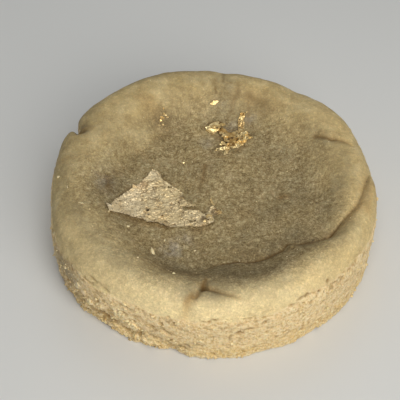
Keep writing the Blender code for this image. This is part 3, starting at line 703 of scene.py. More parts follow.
def math_node(tree, operation, a, b=None, c=None):
    node = tree.nodes.new("ShaderNodeMath")
    node.operation = operation
    for k, value in enumerate((a, b, c)):
        if value is None:
            continue
        if isinstance(value, (int, float)):
            node.inputs[k].default_value = value
        else:
            tree.links.new(value, node.inputs[k])
    return node.outputs[0]


def blend_colour(tree, share, a, b, mode="MIX"):
    node = tree.nodes.new("ShaderNodeMix")
    node.data_type = "RGBA"
    node.blend_type = mode
    for socket, value in ((node.inputs["A"] if False else node.inputs[6], a), (node.inputs[7], b)):
        if isinstance(value, tuple):
            socket.default_value = (*value, 1.0)
        else:
            tree.links.new(value, socket)
    if isinstance(share, (int, float)):
        node.inputs[0].default_value = share
    else:
        tree.links.new(share, node.inputs[0])
    return node.outputs[2]


def add_noise_warp(tree, where):
    """Thin bent streaks: noise stretched along a direction that turns slowly."""
    turn = tree.nodes.new("ShaderNodeTexNoise")
    turn.inputs["Scale"].default_value = 260.0
    turn.inputs["Detail"].default_value = 1.0
    tree.links.new(where, turn.inputs["Vector"])
    bend = tree.nodes.new("ShaderNodeVectorMath")
    bend.operation = "MULTIPLY_ADD"
    bend.inputs[1].default_value = (0.006, 0.006, 0.0)
    tree.links.new(turn.outputs["Color"], bend.inputs[0])
    tree.links.new(where, bend.inputs[2])
    stretch = tree.nodes.new("ShaderNodeMapping")
    stretch.inputs["Rotation"].default_value = (0.0, 0.0, 0.5)
    stretch.inputs["Scale"].default_value = (1.0, 2.6, 1.0)
    tree.links.new(bend.outputs[0], stretch.inputs["Vector"])
    return noise(tree, stretch.outputs["Vector"], 1100.0, 1.0)


def scale_colour(tree, colour, factor):
    node = tree.nodes.new("ShaderNodeVectorMath")
    node.operation = "SCALE"
    tree.links.new(colour, node.inputs[0])
    tree.links.new(factor, node.inputs["Scale"])
    return node.outputs[0]


def dough_material():
    mat, tree, bsdf = new_material("baked_dough")
    where = add(tree, "ShaderNodeTexCoord").outputs["Object"]
    crumb, pit_shade, crease, centre, bake_and_shade, stain, grey, low = (attribute(tree, k) for k in ("crumb", "pit_shade", "crease", "centre", "bake_and_shade", "stain", "grey", "low"))
    slow = noise(tree, where, 110.0, 3.0)
    patch = noise(tree, where, 210.0, 2.0)
    blotch = noise(tree, where, 420.0, 3.0, 0.6)
    mottle = noise(tree, where, 1000.0, 1.0)
    grain = noise(tree, where, 1900.0, 1.0)
    fine = noise(tree, where, 3600.0, 1.0)

    # the skin: one dough colour made lighter or darker, warmer or greyer
    dough = blend_colour(tree, remap(tree, slow, 0.35, 0.65), (0.81, 0.615, 0.295), (0.81, 0.60, 0.27))
    dough = blend_colour(tree, remap(tree, patch, 0.50, 0.68, 0.0, 0.5), dough, (0.80, 0.645, 0.345))
    dough = blend_colour(tree, math_node(tree, "MULTIPLY", remap(tree, blotch, 0.55, 0.72, 0.0, 0.45), centre), dough, (0.84, 0.56, 0.25))
    flecks = math_node(tree, "MULTIPLY", remap(tree, grain, 0.44, 0.76), remap(tree, mottle, 0.30, 0.65, 0.30, 1.0))
    lint = remap(tree, add_noise_warp(tree, where), 0.60, 0.78)
    mottling = math_node(tree, "ADD", math_node(tree, "MULTIPLY", flecks, 0.80), remap(tree, mottle, 0.2, 0.8, -0.40, 0.12))
    mottling = math_node(tree, "ADD", mottling, math_node(tree, "ADD", remap(tree, fine, 0.2, 0.8, -0.46, 0.46), math_node(tree, "MULTIPLY", lint, 0.30)))
    mottling = math_node(tree, "MULTIPLY", mottling, remap(tree, centre, 0.0, 1.0, 0.34, 1.0))
    slow_part = math_node(tree, "ADD", remap(tree, blotch, 0.2, 0.8, -0.17, 0.17), remap(tree, patch, 0.2, 0.8, -0.14, 0.14))
    slow_part = math_node(tree, "MULTIPLY", slow_part, remap(tree, attribute(tree, "calm"), 0.0, 1.0, 1.0, 0.32))
    light = math_node(tree, "ADD", math_node(tree, "ADD", mottling, slow_part), 1.0)
    cream = math_node(tree, "MULTIPLY", remap(tree, light, 1.0, 1.7, 0.0, 0.6), centre)
    dough = blend_colour(tree, cream, dough, (0.74, 0.615, 0.37))
    brown = math_node(tree, "MULTIPLY", remap(tree, light, 1.0, 0.6, 0.0, 0.7), remap(tree, centre, 0.0, 1.0, 0.5, 1.0))
    dough = blend_colour(tree, brown, dough, (0.88, 0.58, 0.225))
    # brown marks in the skin and painted shadow beside the gold pieces
    stained = math_node(tree, "MULTIPLY", stain, remap(tree, mottle, 0.2, 0.8, 0.65, 1.1))
    dough = blend_colour(tree, stained, dough, (0.79, 0.495, 0.185))
    dough = blend_colour(tree, math_node(tree, "MULTIPLY", grey, remap(tree, blotch, 0.35, 0.60)), dough, (0.80, 0.68, 0.50))
    light = math_node(tree, "MULTIPLY", light, remap(tree, stained, 0.0, 1.0, 1.0, 0.70))
    light = math_node(tree, "MULTIPLY", light, remap(tree, math_node(tree, "MULTIPLY", grey, lint), 0.0, 1.0, 1.0, 1.5))
    dough = blend_colour(tree, attribute(tree, "cream"), dough, (0.79, 0.64, 0.355))
    # the skin is scaled by its tone, which carries painted shade around the front fold, its pit and the right crease
    skin = scale_colour(tree, dough, math_node(tree, "MULTIPLY", math_node(tree, "MAXIMUM", light, 0.35), bake_and_shade))

    pale_side = blend_colour(tree, remap(tree, blotch, 0.35, 0.65), (0.88, 0.67, 0.36), (0.82, 0.595, 0.30))
    gold_side = blend_colour(tree, remap(tree, blotch, 0.35, 0.65), (0.83, 0.605, 0.26), (0.74, 0.50, 0.18))
    side = blend_colour(tree, math_node(tree, "MULTIPLY", low, remap(tree, patch, 0.3, 0.6, 0.45, 1.0)), pale_side, gold_side)
    side = blend_colour(tree, remap(tree, mottle, 0.46, 0.68, 0.0, 0.65), side, (0.88, 0.74, 0.46))
    side = blend_colour(tree, remap(tree, grain, 0.47, 0.68, 0.0, 0.62), side, (0.50, 0.31, 0.11))
    side = blend_colour(tree, remap(tree, fine, 0.50, 0.72, 0.0, 0.58), side, (0.93, 0.79, 0.51))
    side = blend_colour(tree, math_node(tree, "MULTIPLY", remap(tree, lint, 0.2, 0.9), 0.35), side, (0.42, 0.25, 0.085))
    # lower front left: brown painted shade in the hollows between pale lumps
    rugged, pale = attribute(tree, "rugged"), attribute(tree, "pale")
    side = blend_colour(tree, math_node(tree, "MULTIPLY", rugged, remap(tree, blotch, 0.50, 0.62, 0.0, 0.72)), side, (0.50, 0.335, 0.135))
    side = blend_colour(tree, math_node(tree, "MULTIPLY", rugged, remap(tree, fine, 0.48, 0.30, 0.0, 0.55)), side, (0.40, 0.25, 0.09))
    side = blend_colour(tree, math_node(tree, "MULTIPLY", rugged, remap(tree, mottle, 0.54, 0.70, 0.0, 0.6)), side, (0.93, 0.76, 0.47))
    side = blend_colour(tree, math_node(tree, "MULTIPLY", pale, remap(tree, mottle, 0.3, 0.6, 0.55, 1.0)), side, (0.97, 0.79, 0.52))
    # painted bounce light from the floor on the foot of the side
    side = blend_colour(tree, math_node(tree, "MULTIPLY", attribute(tree, "foot"), 0.7), side, (0.96, 0.83, 0.58))
    side = scale_colour(tree, side, attribute(tree, "shade"))
    base = blend_colour(tree, crumb, skin, side)
    # painted shade in the side's holes, grain gaps, cracks and hollows
    base = blend_colour(tree, math_node(tree, "MULTIPLY", pit_shade, 0.80), base, (0.31, 0.175, 0.05))
    # painted shade in the dents and cracks of the side marks
    base = blend_colour(tree, math_node(tree, "MULTIPLY", attribute(tree, "gap"), 0.75), base, (0.17, 0.09, 0.025))
    # painted shade: a dark brown line in the folds and grooves of the top
    base = blend_colour(tree, math_node(tree, "MULTIPLY", crease, 0.84), base, (0.135, 0.070, 0.014))
    tree.links.new(base, bsdf.inputs["Base Color"])
    rough = remap(tree, grain, 0.3, 0.7, 0.62, 0.82)
    tree.links.new(rough, bsdf.inputs["Roughness"])
    bsdf.inputs["Specular IOR Level"].default_value = 0.35
    bsdf.inputs["Subsurface Weight"].default_value = 0.12
    bsdf.inputs["Subsurface Radius"].default_value = (0.0016, 0.0009, 0.0004)
    bsdf.inputs["Subsurface Scale"].default_value = 1.0
    bump_height = math_node(tree, "ADD", math_node(tree, "MULTIPLY", mottle, remap(tree, crumb, 0.0, 1.0, 0.45, 1.8)),
                            math_node(tree, "MULTIPLY", grain, remap(tree, crumb, 0.0, 1.0, 0.40, 1.3)))
    bump = tree.nodes.new("ShaderNodeBump")
    bump.inputs["Strength"].default_value = 0.55
    bump.inputs["Distance"].default_value = 0.00035
    tree.links.new(bump_height, bump.inputs["Height"])
    tree.links.new(bump.outputs["Normal"], bsdf.inputs["Normal"])
    return mat


def floor_material():
    mat, tree, bsdf = new_material("pale_floor")
    where = add(tree, "ShaderNodeTexCoord").outputs["Object"]
    slow = noise(tree, where, 6.0, 2.0)
    colour = blend_colour(tree, remap(tree, slow, 0.3, 0.7), (0.715, 0.71, 0.69), (0.695, 0.69, 0.67))
    tree.links.new(colour, bsdf.inputs["Base Color"])
    bsdf.inputs["Roughness"].default_value = 0.45
    return mat


def gold_material(name, colour, pale, metallic, roughness):
    """Beaten gold leaf: `pale` is where it has gone matt and whitish, and also painted highlight on the large leaf's
    ridges, bumps and lower-left edge; the darkest colour marks dark specks and painted shade in creases and low parts.
    """
    mat, tree, bsdf = new_material(name)
    where = add(tree, "ShaderNodeTexCoord").outputs["Object"]
    slow = noise(tree, where, 300.0, 2.0)
    grain = noise(tree, where, 1700.0, 2.0, 0.6)
    fine = noise(tree, where, 4200.0, 1.0)
    base = blend_colour(tree, remap(tree, slow, 0.35, 0.65), colour, pale)
    base = blend_colour(tree, remap(tree, grain, 0.55, 0.72, 0.0, 0.6), base, pale)
    base = blend_colour(tree, remap(tree, fine, 0.50, 0.30, 0.0, 0.36), base, (0.42, 0.27, 0.10))
    speck_and_shade = attribute(tree, "speck_and_shade")
    warm = attribute(tree, "warm")
    base = blend_colour(tree, warm, base, (0.53, 0.29, 0.072))
    base = blend_colour(tree, attribute(tree, "pale"), base, (0.96, 0.83, 0.60))
    # dark specks and painted shade in the gold's creases and low parts
    base = blend_colour(tree, speck_and_shade, base, (0.13, 0.062, 0.019))
    tree.links.new(base, bsdf.inputs["Base Color"])
    bsdf.inputs["Metallic"].default_value = metallic
    tree.links.new(remap(tree, grain, 0.3, 0.7, roughness - 0.08, roughness + 0.08), bsdf.inputs["Roughness"])
    bump = tree.nodes.new("ShaderNodeBump")
    bump.inputs["Strength"].default_value = 0.5
    bump.inputs["Distance"].default_value = 0.00012
    tree.links.new(math_node(tree, "ADD", grain, math_node(tree, "MULTIPLY", fine, 0.5)), bump.inputs["Height"])
    tree.links.new(bump.outputs["Normal"], bsdf.inputs["Normal"])
    return mat


# ------------------------------------------------------------------ camera, light and floor


def aim(obj, at):
    from mathutils import Vector
    obj.rotation_euler = (Vector(at) - obj.location).to_track_quat("-Z", "Y").to_euler()


def set_camera():
    elevation, distance, focal = math.radians(49.0), 274.7, 1200.0
    target = np.array([0.0, 0.0, 10.0]) - MIDDLE
    forward = np.array([0.0, math.cos(elevation), -math.sin(elevation)])
    place = (target - forward * distance) * MM
    data = bpy.data.cameras.new("camera")
    data.sensor_width = 36.0
    data.lens = 36.0 * focal / 400.0
    data.shift_x = -(211.4 - 200.0) / 400.0
    data.shift_y = (201.7 - 200.0) / 400.0
    data.clip_start, data.clip_end = 0.01, 20.0
    camera = bpy.data.objects.new("camera", data)
    camera.location = place
    camera.rotation_euler = (math.radians(90.0 - 49.0), 0.0, 0.0)
    bpy.context.scene.collection.objects.link(camera)
    bpy.context.scene.camera = camera


def area_light(name, bearing, elevation, distance, size, power, colour):
    data = bpy.data.lights.new(name, "AREA")
    data.shape = "DISK"
    data.size = size
    data.energy = power
    data.color = colour
    obj = bpy.data.objects.new(name, data)
    b, e = math.radians(bearing), math.radians(elevation)
    obj.location = (distance * math.cos(e) * math.cos(b), distance * math.cos(e) * math.sin(b), distance * math.sin(e))
    bpy.context.scene.collection.objects.link(obj)
    aim(obj, (0.0, 0.0, 0.01))
    return obj


def set_light():
    world = bpy.data.worlds.new("soft_room")
    world.use_nodes = True
    back = world.node_tree.nodes["Background"]
    back.inputs["Color"].default_value = (0.93, 0.97, 1.0, 1.0)
    back.inputs["Strength"].default_value = 0.222
    bpy.context.scene.world = world
    area_light("key", -60.0, 32.0, 0.5, 0.30, 1.01, (1.0, 0.985, 0.94))
    area_light("high", -80.0, 60.0, 0.5, 0.30, 0.98, (1.0, 0.99, 0.96))
    area_light("fill", 90.0, 50.0, 0.6, 0.40, 0.27, (0.96, 0.99, 1.0))
    view = bpy.context.scene.view_settings
    view.view_transform = "Standard"
    view.look = "None"
    view.exposure = 0.0
    view.gamma = 1.0


def set_floor():
    mesh = bpy.data.meshes.new("floor")
    s = 3.0
    mesh.from_pydata([(-s, -s, 0.0), (s, -s, 0.0), (s, s, 0.0), (-s, s, 0.0)], [], [(0, 1, 2, 3)])
    floor = bpy.data.objects.new("floor", mesh)
    floor.location.z = -0.00002
    bpy.context.scene.collection.objects.link(floor)
    mesh.materials.append(floor_material())


# ------------------------------------------------------------------ build

set_camera()
set_light()
set_floor()

base_points, cookie_faces, cookie_number, cookie_bearing = build_cookie()
cookie_points, masks = detail(base_points, cookie_faces, cookie_number, cookie_bearing)
plan_r = np.hypot(base_points[:, 0], base_points[:, 1])
top_side = cookie_number < 3.2
masks["crease"] = np.where(top_side, crease_mask(base_points[:, 0], base_points[:, 1], cookie_bearing, plan_r), 0.0)
masks["centre"] = np.where(top_side, centre_mask(cookie_bearing, plan_r), 0.0)
stain, grey = stain_mask(base_points[:, 0], base_points[:, 1])
masks["stain"] = np.where(top_side, stain, 0.0)
masks["grey"] = np.where(top_side, grey, 0.0)
masks["cream"] = np.where(top_side, 0.75 * lobe(cookie_bearing, -100, 55) * (1.0 - masks["centre"]) * (1.0 - stain), 0.0)
masks["bake_and_shade"] = np.where(top_side, tone_and_shade(cookie_bearing, plan_r, masks["centre"]), 1.0)
cookie = make_object("cookie_dough", cookie_points, cookie_faces, masks)
cookie.data.materials.append(dough_material())
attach(cookie, "root")
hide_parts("cookie")
print("cookie triangles", len(cookie_faces))

LEAF_OUTLINE = (
    (-13.5, 5.9), (-12.2, 5.3), (-11.6, 4.1), (-11.4, 3.1), (-10.1, 1.9), (-8.9, 0.7), (-7.6, -0.2), (-6.4, -1.4),
    (-6.6, -2.7), (-5.5, -3.9), (-4.5, -4.7), (-3.4, -5.0), (-4.7, -5.4), (-6.4, -5.5), (-6.4, -6.1), (-5.8, -6.7),
    (-4.9, -6.2), (-3.8, -6.5), (-2.7, -6.6), (-1.7, -7.5), (-0.9, -7.2), (-0.5, -5.9), (0.2, -5.0), (0.9, -5.6),
    (1.3, -6.3), (2.3, -6.6), (1.6, -7.5), (0.5, -8.4), (0.6, -9.7), (-0.1, -10.1), (-1.0, -10.8), (-2.4, -11.2),
    (-5.5, -11.1), (-9.2, -11.2), (-10.3, -10.7), (-11.8, -9.9), (-14.3, -9.7), (-14.9, -9.0), (-17.1, -8.4),
    (-19.8, -7.3), (-22.4, -6.5), (-22.5, -5.9), (-23.0, -4.9), (-23.3, -4.2), (-22.2, -4.9), (-21.9, -3.7),
    (-20.6, -2.4), (-19.3, -1.1), (-18.6, -0.6), (-17.9, 0.1), (-17.9, 1.5), (-17.2, 0.9), (-16.2, 1.6), (-15.7, 2.6),
    (-14.5, 4.1), (-14.0, 5.1))
LEAF_HOLES = ((-9.5, 0.4, 0.42), (-12.5, -2.6, 0.22), (-20.4, -3.8, 0.2), (-14.1, -6.5, 0.26), (-13.8, -7.7, 0.2), (-7.3, -4.2, 0.2),
              (-4.6, -9.7, 0.42), (-3.7, -9.6, 0.25), (-0.7, -9.2, 0.26), (-21.8, -6.1, 0.2), (-16.9, -1.7, 0.14), (-13.2, 0.3, 0.14),
              (-1.9, -9.3, 0.16), (-10.9, -8.0, 0.14))


def large_leaf():
    x, y, faces, edge = sheet(LEAF_OUTLINE, LEAF_HOLES, 0.115, 0.22, 41)
    flat = np.stack([x, y, 0.0 * x], 1)
    bend = 0.5 * fractal(flat, 5.0, 50, 2)
    along = np.stack([(x + y * 0.30) * 0.30 + bend, (y - x * 0.30) + 1.1 * bend, 0.0 * x], 1)
    ridges = 1.0 - np.abs(fractal(along, 1.5, 51, 2)) * 2.4
    folds = 1.0 - np.abs(fractal(np.stack([x, y, 0.0 * x + 3.0], 1), 2.6, 52, 2)) * 2.6
    crinkle = fractal(flat, 0.62, 53, 2)
    tiny = value_noise(flat, 0.30, 54)
    fine_ridges = np.clip(1.0 - np.abs(fractal(along * 1.9 + 5.0, 1.3, 61, 2)) * 2.6, 0.0, 1.0)
    creases = np.clip(1.0 - np.abs(fractal(flat + 0.6 * along, 1.9, 62, 2)) * 7.0, 0.0, 1.0) * (fractal(flat, 2.8, 63, 1) > -0.2)
    scratch = np.clip(1.0 - np.abs(fractal(flat * np.array([1.0, 1.6, 1.0]) + 0.4 * along, 0.85, 68, 2)) * 6.0, 0.0, 1.0) * (fractal(flat, 1.7, 69, 1) > -0.05)
    height = 0.18 + 0.12 * np.clip(ridges, 0.0, 1.0) ** 2 + 0.16 * np.clip(folds, 0.0, 1.0) ** 3 + 0.14 * fine_ridges ** 2 + 0.10 * crinkle + 0.065 * tiny
    curls = np.clip(1.0 - np.abs(fractal(flat * np.array([1.5, 0.8, 1.0]) - 0.3 * along, 0.95, 73, 2)) * 6.5, 0.0, 1.0) * (fractal(flat, 1.9, 74, 1) > 0.02)
    height = height - 0.14 * creases - 0.05 * scratch - 0.06 * curls
    height = height + 0.22 * np.exp(-np.clip(edge, 0.0, 9.0) / 0.35) * np.clip(fractal(flat, 2.4, 55, 1) + 0.35, 0.0, 1.0)
    height = height + 0.20 * fractal(flat, 4.2, 56, 1)
    # the small upright shred on the upper left edge, the blob at the right end and the two arms
    height = height + 0.9 * np.exp(-((x + 17.7) ** 2 + (y - 1.2) ** 2) / 0.5 ** 2)
    height = height + 0.55 * np.exp(-((x + 0.6) ** 2 + (y + 9.0) ** 2) / 1.5 ** 2) * (0.6 + 0.8 * value_noise(flat, 0.7, 57))
    height = height + 0.5 * smooth((x + 1.2) / 2.5) * smooth((y + 8.3) / 1.5)
    height = height + 0.35 * smooth((-21.4 - x) / 1.5)
    height = height + 0.5 * np.exp(-np.clip(edge, 0.0, 9.0) / 0.9) * smooth((-8.0 - x) / 3.0) * smooth((-3.5 - y) / 3.0)
    height = np.maximum(height, 0.05)
    points = lie_on_top(x, y, 14.6, height)
    # dark specks and a broken dark line along the torn edge, with painted shade in the creases, scratches and curls
    speck_and_shade = smooth((fractal(flat, 0.42, 58, 1) - 0.74) / 0.08) * 0.75
    speck_and_shade = np.maximum(speck_and_shade, 0.65 * smooth((creases - 0.45) / 0.4))
    speck_and_shade = np.maximum(speck_and_shade, 0.58 * smooth((scratch - 0.40) / 0.35))
    speck_and_shade = np.maximum(speck_and_shade, 0.52 * smooth((curls - 0.40) / 0.35))
    speck_and_shade = np.maximum(speck_and_shade, 0.5 * smooth((0.12 - np.abs(edge)) / 0.08) * (value_noise(flat, 0.9, 59) > 0.25))
    warm = 0.75 * np.exp(-((x + 15.6) ** 2 + (y - 1.1) ** 2) / 1.3 ** 2) + 0.55 * smooth((x - 0.4) / 1.0) * smooth((y + 8.0) / 1.0)
    warm = warm + 0.6 * np.exp(-((x + 2.2) ** 2 + (y + 10.9) ** 2) / 1.2 ** 2) * smooth((0.5 - edge) / 0.3)
    warm = warm + 0.5 * smooth((0.30 - edge) / 0.2) * (x < -9.0) * (y < -7.0) * (value_noise(flat, 1.6, 60) > -0.2)
    edge_light = np.exp(-np.clip(edge, 0.0, 9.0) / 0.30)
    # painted highlight along the lower-left edge, on the fine ridges and on the small bumps; elsewhere paler, whitish
    # gold
    pale = 0.9 * edge_light * smooth((-3.0 - x) / 3.0) * smooth((-4.5 - y) / 2.0) * (0.55 + 0.6 * value_noise(flat, 1.2, 64))
    pale = np.maximum(pale, 0.8 * np.exp(-((x + 22.6) ** 2 + (y + 4.9) ** 2) / 0.9 ** 2))
    pale = np.maximum(pale, 0.45 * smooth((value_noise(flat, 0.55, 65) - 0.10) / 0.3) * np.exp(-((x + 0.2) ** 2 + (y + 8.9) ** 2) / 1.2 ** 2))
    pale = np.maximum(pale, 0.42 * fine_ridges ** 3 * (0.5 + 0.5 * value_noise(flat, 2.0, 66)))
    pale = np.maximum(pale, 0.5 * smooth((tiny - 0.25) / 0.4) * (0.6 + 0.4 * value_noise(flat, 2.4, 75)))
    pale = np.maximum(pale, 0.42 * smooth((-12.5 - x) / 5.0))
    pale = np.maximum(pale, 0.35 * smooth((y - 1.0) / 2.5))
    arms = smooth((x + 0.5) / 0.6) * smooth((y + 8.5) / 0.8)
    pale = np.maximum(pale, 0.16) * (1.0 - arms)
    speck_and_shade = np.maximum(speck_and_shade, 0.85 * smooth((-0.15 - value_noise(flat, 0.6, 67)) / 0.2) * np.exp(-((x + 0.9) ** 2 + (y + 8.4) ** 2) / 2.4 ** 2))
    speck_and_shade = np.maximum(speck_and_shade, 0.7 * arms * smooth((value_noise(flat, 0.45, 76) + 0.30) / 0.3))
    points, faces = thicken(points, faces, 0.035)
    both = lambda v: np.clip(np.concatenate([v, v]), 0.0, 1.0)
    return make_object("gold_leaf_sheet", points, faces, {"speck_and_shade": both(speck_and_shade), "warm": both(warm), "pale": both(pale)})


# each scrap: outline as seen from the front, (height, rise along x, rise along y), crumple depth and size, warmth
CRUMPLE_SCRAPS = (
    (((-1.4, 19.2), (-0.6, 19.5), (0.8, 19.3), (2.0, 19.0), (1.5, 17.9), (0.5, 16.6), (-0.5, 17.5), (-1.3, 18.1)), (0.55, 0.0, 0.42), 0.16, 0.8, 0.0),
    (((-0.8, 19.0), (-0.4, 20.0), (0.4, 20.7), (1.5, 21.0), (2.5, 20.7), (3.3, 20.0), (2.2, 19.0), (1.0, 18.8)), (1.05, 0.0, -0.05), 0.20, 0.9, 0.35),
    (((1.6, 18.3), (2.6, 19.0), (3.5, 18.3), (3.9, 17.1), (4.8, 16.4), (3.7, 15.0), (2.6, 15.8), (1.8, 17.0)), (0.50, -0.05, -0.12), 0.30, 0.7, 0.85),
    (((3.0, 17.3), (4.2, 17.4), (5.4, 16.7), (6.1, 15.4), (5.6, 14.2), (4.2, 14.0), (3.1, 14.6), (2.7, 15.9)), (0.60, 0.05, -0.15), 0.32, 0.7, 0.85),
    (((7.0, 24.3), (8.4, 24.5), (7.9, 23.2), (7.7, 21.6), (8.0, 19.8), (7.8, 17.4), (6.4, 17.2), (6.2, 19.4), (6.4, 21.4), (6.6, 23.0)), (0.60, 0.05, 0.02), 0.20, 0.5, 0.60),
    (((4.8, 17.4), (6.2, 18.3), (7.4, 18.2), (7.4, 16.8), (6.2, 16.0), (5.2, 16.3)), (0.35, 0.0, -0.02), 0.12, 0.9, 0.3),
    (((6.9, 17.4), (8.2, 17.8), (9.0, 17.0), (9.9, 15.6), (8.8, 15.2), (7.4, 15.6), (6.6, 16.4)), (0.70, 0.02, 0.22), 0.40, 0.62, 0.1),
    (((6.2, 16.3), (7.6, 16.5), (8.6, 15.4), (7.9, 14.0), (6.8, 13.0), (5.6, 13.6), (5.6, 15.0)), (0.80, 0.0, 0.22), 0.42, 0.62, 0.1),
    (((5.2, 14.6), (6.6, 14.4), (7.2, 13.2), (6.2, 12.4), (4.8, 12.2), (4.0, 12.8), (4.4, 13.9)), (0.50, 0.0, 0.28), 0.34, 0.55, 0.15),
    (((0.7, 11.5), (1.2, 12.3), (2.6, 12.9), (3.8, 12.7), (4.9, 12.2), (3.8, 11.6), (2.4, 11.7)), (0.40, 0.0, 0.35), 0.20, 0.7, 0.05),
    (((1.7, 13.4), (2.6, 14.5), (3.4, 14.1), (3.8, 13.1), (2.9, 13.2)), (0.45, 0.0, 0.40), 0.18, 0.6, 0.0),
    (((3.2, 14.0), (4.2, 14.2), (4.5, 12.6), (3.9, 11.4), (3.2, 10.2), (2.7, 10.4), (3.2, 11.8), (3.1, 12.8)), (0.40, 0.0, 0.05), 0.22, 0.6, 0.35),
)


def crumpled_leaf():
    cell = 0.09
    all_points, all_faces, all_speck, all_warm, start = [], [], [], [], 0
    for k, (corners, (height, along, across), depth, size, warmth) in enumerate(CRUMPLE_SCRAPS):
        middle = np.mean(corners, axis=0)
        x, y, faces, edge = sheet(corners, (), cell, 0.20, 71 + 7 * k)
        flat = np.stack([x, y, 0.0 * x + 1.3 * k], 1)
        sharp = 1.0 - 2.2 * np.abs(fractal(flat, size * 1.7, 301 + k, 1))
        h = height + along * (x - middle[0]) + across * (y - middle[1])
        h = h + depth * np.clip(sharp, -0.6, 1.0) + 0.35 * depth * fractal(flat, size * 0.7, 331 + k, 1) + 0.02 * value_noise(flat, 0.25, 351 + k)
        h = np.maximum(h, 0.04)
        shift = 0.10 * value_noise(flat, 0.8, 401 + k)
        points = lie_on_top(x + shift, y, 14.8, h)
        low = smooth((0.45 - h) / 0.35)
        # dark specks, with painted shade on the low parts near the dough and in the crumple's valleys
        speck_and_shade = 0.85 * smooth((fractal(flat, 0.7, 431 + k, 1) - 0.66 + 0.2 * warmth) / 0.12) + 0.42 * low
        speck_and_shade = np.maximum(speck_and_shade, 0.72 * smooth((-0.36 - sharp) / 0.22) * (k in (2, 3, 6, 7, 8, 11)))
        points, faces = thicken(points, faces, 0.03)
        all_points.append(points)
        all_faces.append(faces + start)
        start += len(points)
        # warm tone where the scrap is given warmth, and browner on the low parts as painted shade near the dough
        warm = warmth * (0.55 + 0.6 * fractal(flat, 1.1, 461 + k, 1)) + 0.25 * low
        all_speck.append(np.concatenate([speck_and_shade, speck_and_shade]))
        all_warm.append(np.concatenate([warm, warm]))
    clip = lambda parts: np.clip(np.concatenate(parts), 0.0, 1.0)
    return make_object("gold_leaf_scraps", np.concatenate(all_points), np.concatenate(all_faces), {"speck_and_shade": clip(all_speck), "warm": clip(all_warm)})


# outline as seen from the front, height and rise along y
FLECKS = (
    (((-0.4, 27.8), (0.5, 28.8), (1.7, 28.7), (1.5, 28.0), (0.7, 27.0), (0.0, 27.4)), 0.40, -0.20, 0.25, 0.0),
    (((-11.5, 24.5), (-11.1, 24.7), (-11.0, 23.9), (-10.5, 23.7), (-10.6, 23.3), (-11.3, 23.4)), 0.15, -0.2, 0.45, 0.2),
    (((-12.1, 23.0), (-11.7, 23.1), (-11.1, 22.3), (-11.4, 21.9), (-12.0, 22.2)), 0.12, 0.0, 0.05, 0.7),
    (((-10.8, 23.0), (-10.3, 23.3), (-10.1, 22.6), (-10.5, 22.3)), 0.10, -0.2, 0.40, 0.4), (((-12.2, 21.9), (-11.8, 21.9), (-11.7, 21.2), (-12.1, 21.1)), 0.12, 0.1, 0.2, 0.6),
    (((-12.6, 20.2), (-12.2, 20.3), (-12.0, 19.7), (-12.4, 19.5)), 0.12, -0.2, 0.45, 0.3), (((-11.6, 20.3), (-11.2, 20.2), (-11.2, 19.7), (-11.6, 19.7)), 0.12, -0.1, 0.35, 0.4),
    (((-11.5, 26.2), (-11.2, 26.2), (-11.1, 25.7), (-11.4, 25.7)), 0.10, 0.0, 0.2, 0.7), (((-6.7, 7.9), (-6.3, 8.1), (-6.2, 7.7), (-6.5, 7.5)), 0.12, -0.1, 0.6, 0.0),
    (((-0.4, -3.4), (0.0, -3.3), (0.5, -4.4), (0.8, -5.1), (0.3, -5.2), (-0.1, -4.4)), 0.25, 0.1, 0.12, 0.35),
    (((-0.4, -5.6), (0.1, -5.4), (0.2, -6.3), (-0.4, -6.7)), 0.45, 0.1, 0.1, 0.5),
    (((-1.3, -8.2), (-0.6, -7.7), (0.2, -8.1), (0.1, -8.6), (-0.6, -8.4), (-1.0, -8.8)), 0.95, -0.15, 0.22, 0.35),
    (((-0.3, -9.1), (0.3, -8.8), (0.6, -9.6), (0.2, -10.2), (-0.2, -9.9)), 0.80, -0.15, 0.22, 0.3),
    (((-1.6, -9.5), (-1.0, -9.2), (-0.8, -9.8), (-1.3, -10.3), (-1.8, -10.0)), 0.70, -0.1, 0.35, 0.2),
    (((0.5, -7.4), (1.3, -6.9), (2.3, -7.0), (2.2, -7.5), (1.1, -8.0)), 0.60, 0.0, 0.25, 0.45))


def gold_flecks():
    all_points, all_faces, all_warm, start = [], [], [], 0
    for k, (corners, height, along, across, warmth) in enumerate(FLECKS):
        middle = np.mean(corners, axis=0)
        x, y, faces, edge = sheet(corners, (), 0.08, 0.09, 501 + 3 * k)
        flat = np.stack([x, y, 0.0 * x + 2.1 * k], 1)
        h = np.maximum(height + along * (x - middle[0]) + across * (y - middle[1]) + 0.08 * fractal(flat, 0.7, 531 + k, 2), 0.03)
        points, faces = thicken(lie_on_top(x, y, 14.8, h), faces, 0.03)
        all_points.append(points)
        all_faces.append(faces + start)
        all_warm.append(np.full(len(points), warmth))
        start += len(points)
    warm = np.concatenate(all_warm)
    return make_object("gold_flecks", np.concatenate(all_points), np.concatenate(all_faces), {"warm": warm, "speck_and_shade": 0.0 * warm})


